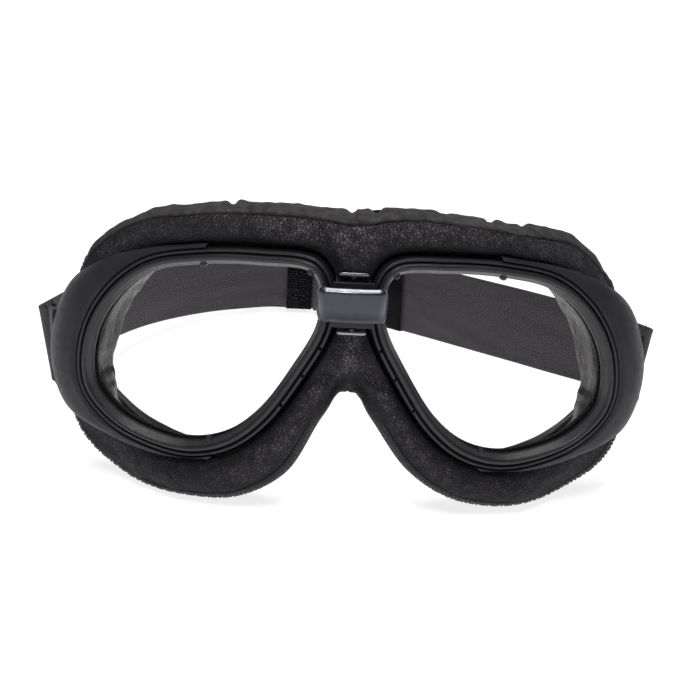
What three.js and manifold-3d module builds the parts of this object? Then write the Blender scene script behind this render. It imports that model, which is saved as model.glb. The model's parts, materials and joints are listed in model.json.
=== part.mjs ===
// Motorcycle goggles: two lens frames hinged on a bridge clip, a padded leather mask and an elastic strap.
// Millimetres, +Z up, lenses facing -Y. The goggles lean back as they stand on a table, on the lower
// edge of the mask and the back of the strap, and the origin is under the middle of the whole object.
import * as THREE from "three";
import { mergeVertices } from "three/addons/utils/BufferGeometryUtils.js";
import Module from "manifold-3d";

const wasm = await Module();
wasm.setup();
const rad = THREE.MathUtils.degToRad;

// ---- Driving dimensions ----

const LEAN = rad(10); // the whole object leans back by this much
const SPLAY = rad(14); // each lens turns outwards from the frontal plane by this much
const GAP = 0.3; // play between pieces that touch

// Lens opening, seen from the front in the plane of one lens frame: distance out from the middle of
// the goggles, and height above the middle of the clip. It runs along the top, down the temple,
// under the lens and back up along the nose.
const OPENING = [
  [12.5, 8.9], [28, 9.7], [46, 8.3], [61, 4.6], [72, -4.5],
  [78.4, -17], [78.6, -31], [71, -40], [60, -44.9], [48, -46.5],
  [37, -43.3], [27.5, -35.5], [17, -20], [10.2, -6.5], [9.7, 3.5],
];
// Outer edge of the mask, one point outwards from each point of the opening.
const MASK_EDGE = [
  [5.5, 24.2], [26, 26.8], [49, 24.3], [68, 18.6], [82, 6.5],
  [89, -12], [90, -34], [85, -50.5], [70.5, -61.7], [52, -65.7],
  [35, -63.3], [21, -54], [9.5, -36.5], [-1, -22], [-2, 2],
];
// Free edge of the temple wing, from its upper tip to its lower tip: out, up, back.
const WING_EDGE = [
  [43.8, 14.5, 0], [61, 11.4, 1.2], [78, 5.4, 4.8], [92.5, -6, 13], [98.4, -24, 16],
  [92.5, -41, 11.5], [76, -47.8, 4], [58, -51.6, 0.7], [42, -51.2, 0],
];
const WING_TIPS = [1.87, 9.55]; // where the wing starts and ends, counted in points of the opening

const BEZEL_WIDTH = 2.8;
const RIM = [3.1, 4.2]; // the casing's front ridge: inner and outer distance from the opening
const LENS_OVERLAP = 1.4; // how far the lens reaches behind the bezel
const LENS_THICKNESS = 1.8;
const LENS_DEPTH = 2.1; // front face of the lens, behind the plane of the bezel
const LENS_STEP = { depth: 0.2, inside: 1.7 }; // thinner edge of the lens, and where it ends inside the opening
const CASING_DEPTH = 7.4;
const PAD_INNER = RIM[1] + 1.1; // the mask starts this far outside the opening
const PAD_DEPTH = 15;
const LINING_DEPTH = 3.2;
const TEMPLE_DEPTH = 4.5; // the mask and eyecup reach this much further back at the temple

const HINGE = [7.3, -4.2]; // hinge pin: out from the middle, and back
const PIN_RADIUS = 0.8;
const PIN_HEIGHT = 8.6;
const KNUCKLE = { inner: 1.0, outer: 1.55, height: 7.4 };
const CLIP = { low: -3.6, high: 5.7, thickness: 1.0, rollRadius: 2.35, bulge: 0.6 };
const CLIP_MIDDLE = (CLIP.low + CLIP.high) / 2;
const STAPLES = { upper: { height: 9.5, foot: 7.8 }, lower: { height: -7.7, foot: -6.2 } };
const WEB_HALF = 2.2; // half the width of the leather web in the middle of the mask
const FOLD_ROOM = { start: 2.9, slope: 0.19 }; // the V left free on each side for the fold

const STRAP = { width: 26, low: -40, thickness: 1.4 };
const SLOT_BAR = [100.5, 20.3]; // strap bar of the wing: out and back, in the plane of the lens frame
const BAR = { width: 2.4, thickness: 2.0 };
const SLOT = { width: 3.4, play: 0.5, rail: 1.3 }; // play above the webbing, and the rail beyond it
const PLATE = { front: 10.7, along: [0.47, 0.883] }; // where it starts in front of the bar, and its direction
const WING_WALL = 1.5;
const WRAP_RADIUS = 2.6; // middle of the webbing where it goes round the bar
const FLAP_LENGTH = 21; // sewn-back end of the strap
const BACK_RUN = { left: 160.6, right: 157.6 }; // depth at which the two halves of the strap pass each other
const BACK_END = { left: 4, right: -12 }; // their free ends, across
const BACK_CORNER = 14; // radius of the right half's turn into the back run
const SLIDER = { length: 9.5, wall: 0.9 };
const SLIDER_AT = { left: -17.5, right: 21.5 }; // left: across; right: in front of the back run

const RING_STEPS = 45;
const WING_STEPS = 28;

// ---- Solids and meshes ----

// A closed geometry as a manifold-3d solid.
function solid(geometry) {
  const g = geometry.clone();
  g.deleteAttribute("normal");
  g.deleteAttribute("uv");
  const merged = mergeVertices(g, 1e-4);
  return new wasm.Manifold(
    new wasm.Mesh({
      numProp: 3,
      vertProperties: new Float32Array(merged.attributes.position.array),
      triVerts: new Uint32Array(merged.index.array),
    }),
  );
}

// A manifold-3d solid as a geometry.
function geometryOf(made) {
  const mesh = made.getMesh();
  const g = new THREE.BufferGeometry();
  g.setAttribute("position", new THREE.BufferAttribute(new Float32Array(mesh.vertProperties), 3));
  g.setIndex(new THREE.BufferAttribute(new Uint32Array(mesh.triVerts), 1));
  return g;
}

// A geometry from points and triangles, with its faces turned outwards.
function closedGeometry(points, triangles) {
  const a = new THREE.Vector3();
  const b = new THREE.Vector3();
  let volume = 0;
  for (const [i, j, k] of triangles) {
    volume += points[i].dot(a.copy(points[j]).cross(b.copy(points[k])));
  }
  const outward = volume > 0 ? triangles : triangles.map(([i, j, k]) => [i, k, j]);
  const g = new THREE.BufferGeometry().setFromPoints(points);
  g.setIndex(outward.flat());
  return g;
}

// Joins sections with the same number of points: into a ring, or with an end cap on each end.
function loft(sections, ring) {
  const count = sections.length;
  const size = sections[0].length;
  const triangles = [];
  for (let i = 0; i < (ring ? count : count - 1); i++) {
    for (let j = 0; j < size; j++) {
      const a = i * size + j;
      const b = i * size + ((j + 1) % size);
      const c = ((i + 1) % count) * size + j;
      const d = ((i + 1) % count) * size + ((j + 1) % size);
      triangles.push([a, b, d], [a, d, c]);
    }
  }
  if (!ring) {
    const last = (count - 1) * size;
    for (let j = 0; j + 1 < size / 2; j++) {
      const k = size - 1 - j;
      triangles.push([j, k, k - 1], [j, k - 1, j + 1]);
      triangles.push([last + j, last + k - 1, last + k], [last + j, last + j + 1, last + k - 1]);
    }
  }
  return closedGeometry(sections.flat(), triangles);
}

// A flat outline, extruded along Z from low to high.
function prism(outline, low, high) {
  const shape = new THREE.Shape(outline.map(([x, y]) => new THREE.Vector2(x, y)));
  const g = new THREE.ExtrudeGeometry(shape, { depth: high - low, bevelEnabled: false });
  g.translate(0, 0, low);
  return g;
}

// A cylinder along Z.
function post(radius, low, high, [x, y], sides = 24) {
  const g = new THREE.CylinderGeometry(radius, radius, high - low, sides);
  g.rotateX(Math.PI / 2);
  g.translate(x, y, (low + high) / 2);
  return g;
}

// A box from its lowest corner to its highest.
function box([x0, y0, z0], [x1, y1, z1]) {
  const g = new THREE.BoxGeometry(x1 - x0, y1 - y0, z1 - z0);
  g.translate((x0 + x1) / 2, (y0 + y1) / 2, (z0 + z1) / 2);
  return g;
}

function material(color, roughness, metalness = 0) {
  return new THREE.MeshStandardMaterial({ color, roughness, metalness });
}

const LOOKS = {
  plastic: material("#37353a", 0.42),
  leather: material("#1f1e21", 0.6),
  lining: material("#2a292c", 0.9),
  foam: material("#3a3a3c", 0.95),
  lens: material("#eef2f2", 0.05),
  rubber: material("#5a554f", 0.35),
  gunmetal: material("#505a63", 0.35, 0.8),
  steel: material("#b4b4b8", 0.3, 1),
  webbing: material("#48444a", 0.85),
  slider: material("#1c1b1e", 0.45),
};

function named(name, geometry, look) {
  const mesh = new THREE.Mesh(geometry, LOOKS[look]);
  mesh.name = name;
  return mesh;
}

// ---- Curves of one lens frame ----

function closedCurve(points) {
  return new THREE.CatmullRomCurve3(points.map(([u, w]) => new THREE.Vector3(u, 0, w)), true);
}

const openingCurve = closedCurve(OPENING);
const maskCurve = closedCurve(MASK_EDGE);
const wingCurve = new THREE.CatmullRomCurve3(WING_EDGE.map(([u, w, d]) => new THREE.Vector3(u, d, w)));

// A point at a distance outside the opening and at a depth behind the bezel's plane.
function rimPoint(t, distance, depth) {
  const p = openingCurve.getPoint(t);
  const along = openingCurve.getTangent(t);
  return new THREE.Vector3(p.x - along.z * distance, depth, p.z + along.x * distance);
}

// A closed ring round the opening, its section a list of distance and depth.
function ringAround(section) {
  const sections = [];
  for (let i = 0; i < RING_STEPS; i++) {
    sections.push(section.map(([distance, depth]) => rimPoint(i / RING_STEPS, distance, depth)));
  }
  return loft(sections, true);
}

// How much further back the face side reaches at this distance out: nothing up to 50 mm.
function templeShare(u) {
  return THREE.MathUtils.smoothstep(u, 50, 78);
}

// The fold's V on the nose side, in the plane of the lens frame, cut from a solid.
function withFoldRoom(geometry) {
  const far = 60;
  const back = 40;
  const wedge = prism(
    [
      [-far, -back],
      [FOLD_ROOM.start + FOLD_ROOM.slope * (-back - HINGE[1]), -back],
      [FOLD_ROOM.start + FOLD_ROOM.slope * (back - HINGE[1]), back],
      [-far, back],
    ],
    -100,
    100,
  );
  wedge.rotateZ(-SPLAY);
  return solid(geometry).subtract(solid(wedge));
}

// ---- Pieces of one lens frame, in its own plane: X out, Y back, Z up ----

const hingeHere = new THREE.Vector2(...HINGE).rotateAround(new THREE.Vector2(), -SPLAY);

// Rounded front ring that holds the lens, with three small catches on its inner edge.
function bezel() {
  const back = LENS_DEPTH - GAP;
  let made = solid(
    ringAround([
      [-0.5, back], [-0.4, 0.9], [0.3, -0.8], [1.2, -1.5], [2.2, -1.3],
      [BEZEL_WIDTH, -0.4], [BEZEL_WIDTH, back],
    ]),
  );
  for (const at of [1.95, 9.55, 0.02]) {
    const p = rimPoint(at / OPENING.length, -0.3, 0);
    const nub = new THREE.CylinderGeometry(1.1, 1.1, 1.2, 16);
    nub.translate(p.x, back - 0.6, p.z);
    made = made.add(solid(nub));
  }
  return geometryOf(made);
}

// Flat sheet, a little thinner where the bezel and its catches reach over it.
function lens() {
  const sheet = (distance, front) => {
    const outline = [];
    for (let i = 0; i < RING_STEPS; i++) {
      const p = rimPoint(i / RING_STEPS, distance, 0);
      outline.push([p.x, p.z]);
    }
    return solid(prism(outline, -LENS_DEPTH - LENS_THICKNESS, -front).rotateX(Math.PI / 2));
  };
  return geometryOf(sheet(LENS_OVERLAP, LENS_DEPTH + LENS_STEP.depth).add(sheet(-LENS_STEP.inside, LENS_DEPTH)));
}

// Soft ring between the lens and the ledge of the casing.
function gasket() {
  const front = LENS_DEPTH + LENS_THICKNESS + GAP;
  return ringAround([
    [-0.8, front + 0.2], [-0.4, front], [LENS_OVERLAP, front],
    [LENS_OVERLAP, front + 1.2], [-0.5, front + 1.2],
  ]);
}

// Shell with the front ridge, the ledge behind the gasket, three vents and the hinge knuckle.
function casing() {
  const seat = LENS_OVERLAP + GAP;
  const ledge = LENS_DEPTH + LENS_THICKNESS + 1.8;
  let made = withFoldRoom(
    ringAround([
      [RIM[0], -0.4], [(RIM[0] + RIM[1]) / 2, -0.8], [RIM[1], -0.3], [RIM[1], CASING_DEPTH],
      [0.4, CASING_DEPTH], [0.4, ledge], [seat, ledge], [seat, LENS_DEPTH], [RIM[0], LENS_DEPTH],
    ]),
  );
  for (const at of [12.62, 12.0, 11.42]) {
    const p = rimPoint(at / OPENING.length, (RIM[0] + RIM[1]) / 2, 0);
    const vent = new THREE.CylinderGeometry(0.5, 0.5, 6, 12);
    vent.translate(p.x, 0, p.z);
    made = made.subtract(solid(vent));
  }
  const low = CLIP_MIDDLE - KNUCKLE.height / 2;
  const high = CLIP_MIDDLE + KNUCKLE.height / 2;
  const { x, y } = hingeHere;
  made = made.add(solid(post(KNUCKLE.outer, low, high, [x, y])));
  made = made.add(solid(box([x - 0.8, y + 1, low], [x + 0.5, 0, high])));
  return geometryOf(made.subtract(solid(post(KNUCKLE.inner, low - 1, high + 1, [x, y]))));
}

// Flexible sleeve that carries the lens casing into the mask.
function eyecup() {
  const front = CASING_DEPTH + GAP;
  const sections = [];
  for (let i = 0; i < RING_STEPS; i++) {
    const t = i / RING_STEPS;
    const share = templeShare(rimPoint(t, 0, 0).x);
    const back = front + 1.6 + TEMPLE_DEPTH * share;
    sections.push([
      rimPoint(t, 0.4, front), rimPoint(t, 1.5, front),
      rimPoint(t, 1.4 - 1.6 * share, back), rimPoint(t, 0.4 - 1.8 * share, back),
    ]);
  }
  return geometryOf(withFoldRoom(loft(sections, true)));
}

// A point of the mask: a share of the way from the rim to the mask's edge, at a depth.
function maskPoint(t, share, depth, temple) {
  const p = rimPoint(t, PAD_INNER, 0).lerp(maskCurve.getPoint(t), share);
  p.y = depth + temple * templeShare(p.x);
  return p;
}

// Leather cover of the mask round one eye: a channel, open towards the face.
function cover() {
  const wall = CASING_DEPTH + GAP + 0.1;
  const sections = [];
  for (let i = 0; i < RING_STEPS; i++) {
    const t = i / RING_STEPS;
    sections.push([
      rimPoint(t, 2.2, wall), rimPoint(t, PAD_INNER, wall), maskPoint(t, 0, 2.2, 1),
      maskPoint(t, 0.28, 0.4, 4.7), maskPoint(t, 0.68, 1.6, 7), maskPoint(t, 0.94, 5, 7),
      maskPoint(t, 1, 9.2, 5.2), maskPoint(t, 0.94, 13.4, TEMPLE_DEPTH),
      maskPoint(t, 0.84, 13, TEMPLE_DEPTH), maskPoint(t, 0.9, 9.2, 5.2), maskPoint(t, 0.86, 6, 6.2),
      maskPoint(t, 0.64, 2.9, 6.6), maskPoint(t, 0.3, 1.7, 4.4), maskPoint(t, 0.11, 3.1, 1.2),
      maskPoint(t, 0.11, wall + 1.3, 0), rimPoint(t, 2.2, wall + 1.3),
    ]);
  }
  return geometryOf(withFoldRoom(loft(sections, true)));
}

// Foam core that fills the cover and stands proud of it on the face side.
function foam() {
  const front = CASING_DEPTH + GAP + 1.8;
  const sections = [];
  for (let i = 0; i < RING_STEPS; i++) {
    const t = i / RING_STEPS;
    const share = templeShare(rimPoint(t, 0, 0).x);
    sections.push([
      rimPoint(t, 3.2, front), maskPoint(t, 0.15, front, 0), maskPoint(t, 0.15, 3.8, 1.4),
      maskPoint(t, 0.32, 2.3, 4.4), maskPoint(t, 0.62, 3.5, 6.4), maskPoint(t, 0.81, 6.5, 6),
      maskPoint(t, 0.86, 9.3, 5.2), maskPoint(t, 0.8, 13, TEMPLE_DEPTH),
      maskPoint(t, 0.6, PAD_DEPTH, TEMPLE_DEPTH), maskPoint(t, 0, PAD_DEPTH, TEMPLE_DEPTH),
      rimPoint(t, 3.2, PAD_DEPTH + TEMPLE_DEPTH * share),
    ]);
  }
  return geometryOf(withFoldRoom(loft(sections, true)));
}

// Soft strip that lies on the face.
function lining() {
  const front = PAD_DEPTH + GAP;
  const sections = [];
  for (let i = 0; i < RING_STEPS; i++) {
    const t = i / RING_STEPS;
    sections.push([
      maskPoint(t, -0.1, front, TEMPLE_DEPTH), maskPoint(t, 0.82, front, TEMPLE_DEPTH),
      maskPoint(t, 0.8, front + 1.6, TEMPLE_DEPTH), maskPoint(t, 0.55, front + LINING_DEPTH, TEMPLE_DEPTH),
      maskPoint(t, 0.15, front + LINING_DEPTH, TEMPLE_DEPTH), maskPoint(t, -0.1, front + 1.8, TEMPLE_DEPTH),
    ]);
  }
  return geometryOf(withFoldRoom(loft(sections, true)));
}

// Shell that runs from the rim round the temple, with the slotted plate for the strap.
function wing() {
  const steps = 6;
  const sections = [];
  for (let i = 0; i <= WING_STEPS; i++) {
    const share = i / WING_STEPS;
    const t = THREE.MathUtils.lerp(...WING_TIPS, share) / OPENING.length;
    const inner = rimPoint(t, RIM[1] + GAP + 0.15, -0.8);
    const edge = wingCurve.getPoint(share);
    const out = new THREE.Vector3(edge.x - inner.x, 0, edge.z - inner.z);
    const reach = out.length();
    out.normalize();
    const profile = new THREE.QuadraticBezierCurve(
      new THREE.Vector2(0, 0),
      new THREE.Vector2(0.8 * reach, 0.15 * (edge.y - inner.y)),
      new THREE.Vector2(reach, edge.y - inner.y),
    );
    const front = [];
    const behind = [];
    for (let j = 0; j <= steps; j++) {
      const p = profile.getPoint(j / steps);
      const along = profile.getTangent(j / steps);
      const at = (x, depth) => inner.clone().addScaledVector(out, x).setY(inner.y + depth);
      front.push(at(p.x, p.y));
      behind.unshift(at(p.x - along.y * WING_WALL, p.y + along.x * WING_WALL));
    }
    sections.push([...front, ...behind]);
  }
  const end = BAR.width / 2;
  const plate = plateSlab(-PLATE.front, end, BAR.thickness, SLOT.rail);
  const slot = plateSlab(-end - SLOT.width, -end, 2 * BAR.thickness, 0);
  return geometryOf(solid(loft(sections, false)).add(plate).subtract(slot));
}

// A slab in the plane of the strap plate, between two distances behind the bar, as tall as the slot plus a rail.
function plateSlab(from, to, thickness, rail) {
  const along = new THREE.Vector2(...PLATE.along);
  const across = new THREE.Vector2(along.y, -along.x).multiplyScalar(thickness / 2);
  const corner = (distance, side) =>
    new THREE.Vector2(...SLOT_BAR).addScaledVector(along, distance).addScaledVector(across, side).toArray();
  const reach = SLOT.play + rail;
  return solid(
    prism(
      [corner(from, -1), corner(to, -1), corner(to, 1), corner(from, 1)],
      STRAP.low - reach,
      STRAP.low + STRAP.width + reach,
    ),
  );
}

// ---- Bridge, in the goggles' own frame ----

// A flat strip of one thickness along a list of points in the XY plane, extruded along Z.
function strip(points, thickness, low, high) {
  const sides = [[], []];
  points.forEach((p, i) => {
    const before = points[Math.max(i - 1, 0)];
    const after = points[Math.min(i + 1, points.length - 1)];
    const out = after.clone().sub(before).setLength(thickness / 2);
    sides[0].push([p.x - out.y, p.y + out.x]);
    sides[1].unshift([p.x + out.y, p.y - out.x]);
  });
  return prism([...sides[0], ...sides[1]], low, high);
}

function arc(centre, radius, from, to, steps) {
  return Array.from({ length: steps + 1 }, (_, i) => {
    const angle = rad(THREE.MathUtils.lerp(from, to, i / steps));
    return new THREE.Vector2(centre[0] + radius * Math.cos(angle), centre[1] + radius * Math.sin(angle));
  });
}

// Front cover: a crowned plate rolled round both knuckles, with barrelled ends.
function bridgeClip() {
  const [x, y] = HINGE;
  const r = CLIP.rollRadius;
  const half = arc([x, y], r, 40, -80, 10);
  const crown = [4.5, 2.2, 0].map((at) => new THREE.Vector2(at, y - r - CLIP.bulge * (1 - (at / x) ** 2)));
  const right = [...half, ...crown];
  const left = right.slice(0, -1).reverse().map((p) => new THREE.Vector2(-p.x, p.y));
  const plate = solid(strip([...right, ...left], CLIP.thickness, CLIP.low, CLIP.high));
  const width = x + r + CLIP.thickness / 2;
  const face = new THREE.Shape();
  face.moveTo(-width + 1.4, CLIP.low);
  face.lineTo(width - 1.4, CLIP.low);
  face.quadraticCurveTo(width + 0.9, CLIP_MIDDLE - 0.6, width - 0.7, CLIP.high);
  face.lineTo(-width + 0.7, CLIP.high);
  face.quadraticCurveTo(-width - 0.9, CLIP_MIDDLE - 0.6, -width + 1.4, CLIP.low);
  const barrel = new THREE.ExtrudeGeometry(face, { depth: 30, bevelEnabled: false, curveSegments: 10 });
  barrel.rotateX(Math.PI / 2);
  barrel.translate(0, 15, 0);
  return geometryOf(plate.intersect(solid(barrel)));
}

// Plate behind the clip, waisted between the knuckles.
function bridgeBackplate() {
  const waist = 4;
  const flange = 5.9;
  const g = prism(
    [
      [-flange, -5.8], [flange, -5.8], [flange, -4.2], [waist, -3.4], [waist, 5.5], [flange, 6.1],
      [flange, 7.4], [-flange, 7.4], [-flange, 6.1], [-waist, 5.5], [-waist, -3.4], [-flange, -4.2],
    ],
    0,
    1,
  );
  g.rotateX(Math.PI / 2);
  g.translate(0, -0.7, 0);
  return g;
}

// Staple that holds the leather web: a flat bar with a short stem towards the clip.
function staple({ height, foot }) {
  const bar = solid(box([-4.2, -0.5, height - 0.6], [4.2, 0.4, height + 0.6]));
  const stem = solid(box([-0.7, -0.4, Math.min(height, foot)], [0.7, 0.3, Math.max(height, foot)]));
  return geometryOf(bar.add(stem));
}

// Leather web between the two halves of the mask, seen from the side: back, up.
function maskWeb() {
  const profile = [
    [8, 22.6], [4.2, 16.5], [1.6, 11.5], [0.8, 7], [2, 3], [2, -2.5], [0.8, -6.5],
    [2.2, -12], [4.6, -20], [7.5, -26.3], [11, -26.6], [10.5, -16], [9.5, 0], [10.5, 12], [13, 21.5],
  ];
  const shape = new THREE.Shape(profile.map(([back, up]) => new THREE.Vector2(back, up)));
  const g = new THREE.ExtrudeGeometry(shape, { depth: 2 * WEB_HALF, bevelEnabled: false });
  g.translate(0, 0, -WEB_HALF);
  g.rotateX(Math.PI / 2); // the profile now stands up
  g.rotateZ(Math.PI / 2); // and its first axis points back
  return g;
}

// ---- Strap, seen from above in the goggles' own frame ----

const barHere = new THREE.Vector2(...SLOT_BAR).rotateAround(new THREE.Vector2(), SPLAY);

// The end of the strap that goes round the bar: from the flap's end to the start of the long run.
function wrap(centre, heading, side) {
  const along = new THREE.Vector2(Math.cos(heading), Math.sin(heading));
  const out = new THREE.Vector2(along.y, -along.x).multiplyScalar(side);
  const at = (a, b) => centre.clone().addScaledVector(along, a).addScaledVector(out, b);
  const points = [];
  for (const back of [FLAP_LENGTH, 15, 10]) points.push(at(back, WRAP_RADIUS - STRAP.thickness - GAP - 0.1));
  points.push(at(5, -0.2), at(2.5, -WRAP_RADIUS + 0.3));
  for (let i = 0; i <= 10; i++) {
    const angle = Math.PI * (i / 10);
    points.push(at(-WRAP_RADIUS * Math.sin(angle), -WRAP_RADIUS * Math.cos(angle)));
  }
  return points;
}

function smooth(points, steps) {
  const curve = new THREE.SplineCurve(points.map(([x, y]) => new THREE.Vector2(x, y)));
  return curve.getPoints(steps);
}

function heading(from, to) {
  return Math.atan2(to[1] - from.y, to[0] - from.x);
}

function strapHalf(points) {
  return strip(points, STRAP.thickness, STRAP.low, STRAP.low + STRAP.width);
}

const LEFT_RUN = [[-87.5, 76], [-79.5, 107], [-67, 130.5], [-51, 147.6], [-38, 156], [-28, BACK_RUN.left]];
const RIGHT_RUN = [[85.5, 62], [73.4, 79], [62.6, 91.5], [51, 103.2], [43, 111.2]];
const DIAGONAL = 135.4; // direction of the right half's straight run, in degrees

// A point of the right half's straight run, this far in front of the back run.
function diagonalPoint(front) {
  const [x, y] = RIGHT_RUN.at(-1);
  const back = BACK_RUN.right - front;
  return new THREE.Vector2(x + (back - y) / Math.tan(rad(DIAGONAL)), back);
}

function strapLeft() {
  const bar = new THREE.Vector2(-barHere.x, barHere.y);
  const ends = wrap(bar, heading(bar, LEFT_RUN[0]), -1);
  const last = ends[ends.length - 1];
  const run = smooth([last.toArray(), ...LEFT_RUN, [-20, BACK_RUN.left]], 44);
  return strapHalf([...ends, ...run.slice(1), new THREE.Vector2(BACK_END.left, BACK_RUN.left)]);
}

function strapRight() {
  const ends = wrap(barHere, heading(barHere, RIGHT_RUN[0]), 1);
  const last = ends[ends.length - 1];
  const run = smooth([last.toArray(), ...RIGHT_RUN], 26);
  const corner = diagonalPoint(0);
  const tangent = BACK_CORNER * Math.tan(rad(180 - DIAGONAL) / 2);
  const turn = arc([corner.x - tangent, BACK_RUN.right - BACK_CORNER], BACK_CORNER, DIAGONAL - 90, 90, 8);
  return strapHalf([...ends, ...run.slice(1), ...turn, new THREE.Vector2(BACK_END.right, BACK_RUN.right)]);
}

// Loop that slides on the strap: a short flat tube round the webbing.
function slider() {
  const half = SLIDER.length / 2;
  const room = STRAP.thickness / 2 + GAP;
  const low = STRAP.low - GAP;
  const high = STRAP.low + STRAP.width + GAP;
  const w = SLIDER.wall;
  const outer = solid(box([-half, -room - w, low - w], [half, room + w, high + w]));
  const inner = solid(box([-half - 1, -room, low], [half + 1, room, high]));
  return geometryOf(outer.subtract(inner));
}

// ---- Assembly ----

const goggles = new THREE.Group(); // the goggles' own frame: origin in the middle of the bridge
goggles.rotation.x = -LEAN;

const bridge = new THREE.Group();
bridge.add(
  named("bridge_clip", bridgeClip(), "gunmetal"),
  named("bridge_backplate", bridgeBackplate(), "plastic"),
  named("staple_upper", staple(STAPLES.upper), "steel"),
  named("staple_lower", staple(STAPLES.lower), "steel"),
  named("mask_web", maskWeb(), "leather"),
);
goggles.add(bridge);

const FRAME_PIECES = [
  ["casing", casing(), "plastic"],
  ["bezel", bezel(), "plastic"],
  ["lens", lens(), "lens"],
  ["gasket", gasket(), "rubber"],
  ["eyecup", eyecup(), "rubber"],
  ["wing", wing(), "plastic"],
  ["cover", cover(), "leather"],
  ["foam", foam(), "foam"],
  ["lining", lining(), "lining"],
];
const pin = post(PIN_RADIUS, CLIP_MIDDLE - PIN_HEIGHT / 2, CLIP_MIDDLE + PIN_HEIGHT / 2, HINGE, 20);

for (const [side, mirror] of [["left", -1], ["right", 1]]) {
  const half = new THREE.Group();
  half.scale.x = mirror;
  const frame = new THREE.Group();
  frame.rotation.z = SPLAY;
  for (const [piece, geometry, look] of FRAME_PIECES) frame.add(named(`${piece}_${side}`, geometry, look));
  half.add(frame, named(`hinge_pin_${side}`, pin, "steel"));
  goggles.add(half);
}

goggles.add(named("strap_left", strapLeft(), "webbing"), named("strap_right", strapRight(), "webbing"));
const sliderLeft = named("slider_left", slider(), "slider");
sliderLeft.position.set(SLIDER_AT.left, BACK_RUN.left, 0);
const sliderRight = named("slider_right", slider(), "slider");
sliderRight.position.set(...diagonalPoint(SLIDER_AT.right), 0);
sliderRight.rotation.z = rad(DIAGONAL);
goggles.add(sliderLeft, sliderRight);

// The object stands on Z = 0 with its middle over the origin.
const object = new THREE.Group();
object.add(goggles);
object.updateMatrixWorld(true);
const bounds = new THREE.Box3().setFromObject(object, true);
const middle = bounds.getCenter(new THREE.Vector3());
goggles.position.set(-middle.x, -middle.y, -bounds.min.z);

export default object;
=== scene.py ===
"""The looks of a pair of motorcycle goggles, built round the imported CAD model.

Lengths are millimetres in the goggles' own frame, with X across, Y back, Z up and the origin in the
middle of the bridge. Each half is drawn for the right side and mirrored. place() turns all of it into
the row frame, in metres.
"""
import json
import math

import bmesh
import bpy
import numpy as np
from mathutils import Matrix, Vector, noise
from mathutils.kdtree import KDTree


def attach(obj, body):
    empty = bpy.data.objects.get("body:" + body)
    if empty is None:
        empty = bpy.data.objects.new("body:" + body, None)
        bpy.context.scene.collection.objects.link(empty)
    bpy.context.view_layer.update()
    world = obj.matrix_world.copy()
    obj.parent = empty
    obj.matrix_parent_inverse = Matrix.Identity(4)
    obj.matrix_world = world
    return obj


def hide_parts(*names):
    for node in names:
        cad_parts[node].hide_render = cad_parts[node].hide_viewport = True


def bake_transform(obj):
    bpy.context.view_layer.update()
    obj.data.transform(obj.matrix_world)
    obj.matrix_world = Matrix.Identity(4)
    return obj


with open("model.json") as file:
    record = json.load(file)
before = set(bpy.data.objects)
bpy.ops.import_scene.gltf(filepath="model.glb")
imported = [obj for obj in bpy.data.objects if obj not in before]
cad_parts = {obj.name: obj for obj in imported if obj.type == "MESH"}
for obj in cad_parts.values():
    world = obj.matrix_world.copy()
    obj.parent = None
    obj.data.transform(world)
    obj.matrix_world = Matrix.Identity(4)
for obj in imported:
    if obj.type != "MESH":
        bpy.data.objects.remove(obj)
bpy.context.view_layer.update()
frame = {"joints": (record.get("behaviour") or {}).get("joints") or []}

# ---- Driving dimensions, the same as the CAD part's ----

MM = 0.001
LEAN = math.radians(10)
SPLAY = math.radians(14)
HINGE = np.array([7.3, -4.2, 1.05])  # middle of the right hinge pin

OPENING = [
    (12.5, 8.9), (28, 9.7), (46, 8.3), (61, 4.6), (72, -4.5), (78.4, -17), (78.6, -31), (71, -40),
    (60, -44.9), (48, -46.5), (37, -43.3), (27.5, -35.5), (17, -20), (10.2, -6.5), (9.7, 3.5),
]
MASK_EDGE = {  # the soft mask isn't quite the same on both sides
    "left": [
        (5, 25.6), (26, 25.9), (48.9, 23.8), (68.1, 18.9), (83.9, 7.8), (90.8, -11.6), (92, -34.2),
        (86.9, -51.8), (71.3, -63.5), (52, -65.6), (34.6, -64.2), (20.2, -55.4), (9.9, -37), (-1, -22),
        (-6, 25.4),
    ],
    "right": [
        (5, 25.9), (14, 26.5), (26, 25.5), (48.8, 22.0), (69.2, 18.3), (82.0, 6.9), (90, -11.8),
        (92.8, -34.3), (87.6, -52.3), (71.1, -63.1), (52, -65.1), (35.5, -62), (22, -53.2), (10.1, -37),
        (-1, -22), (-6, 25),
    ],
}
WING_EDGE = [
    (43.8, 0, 14.5), (61, 1.2, 11.4), (78, 4.8, 5.4), (92.5, 13, -6), (98.4, 16, -24),
    (92.5, 11.5, -41), (76, 4, -47.8), (58, 0.7, -51.6), (42, 0, -51.2),
]
WING_TIPS = (1.87, 9.55)  # where the wing starts and ends, in points of OPENING
RIM = (3.1, 4.2)  # the casing's front ridge, inside and outside, from the opening
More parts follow.
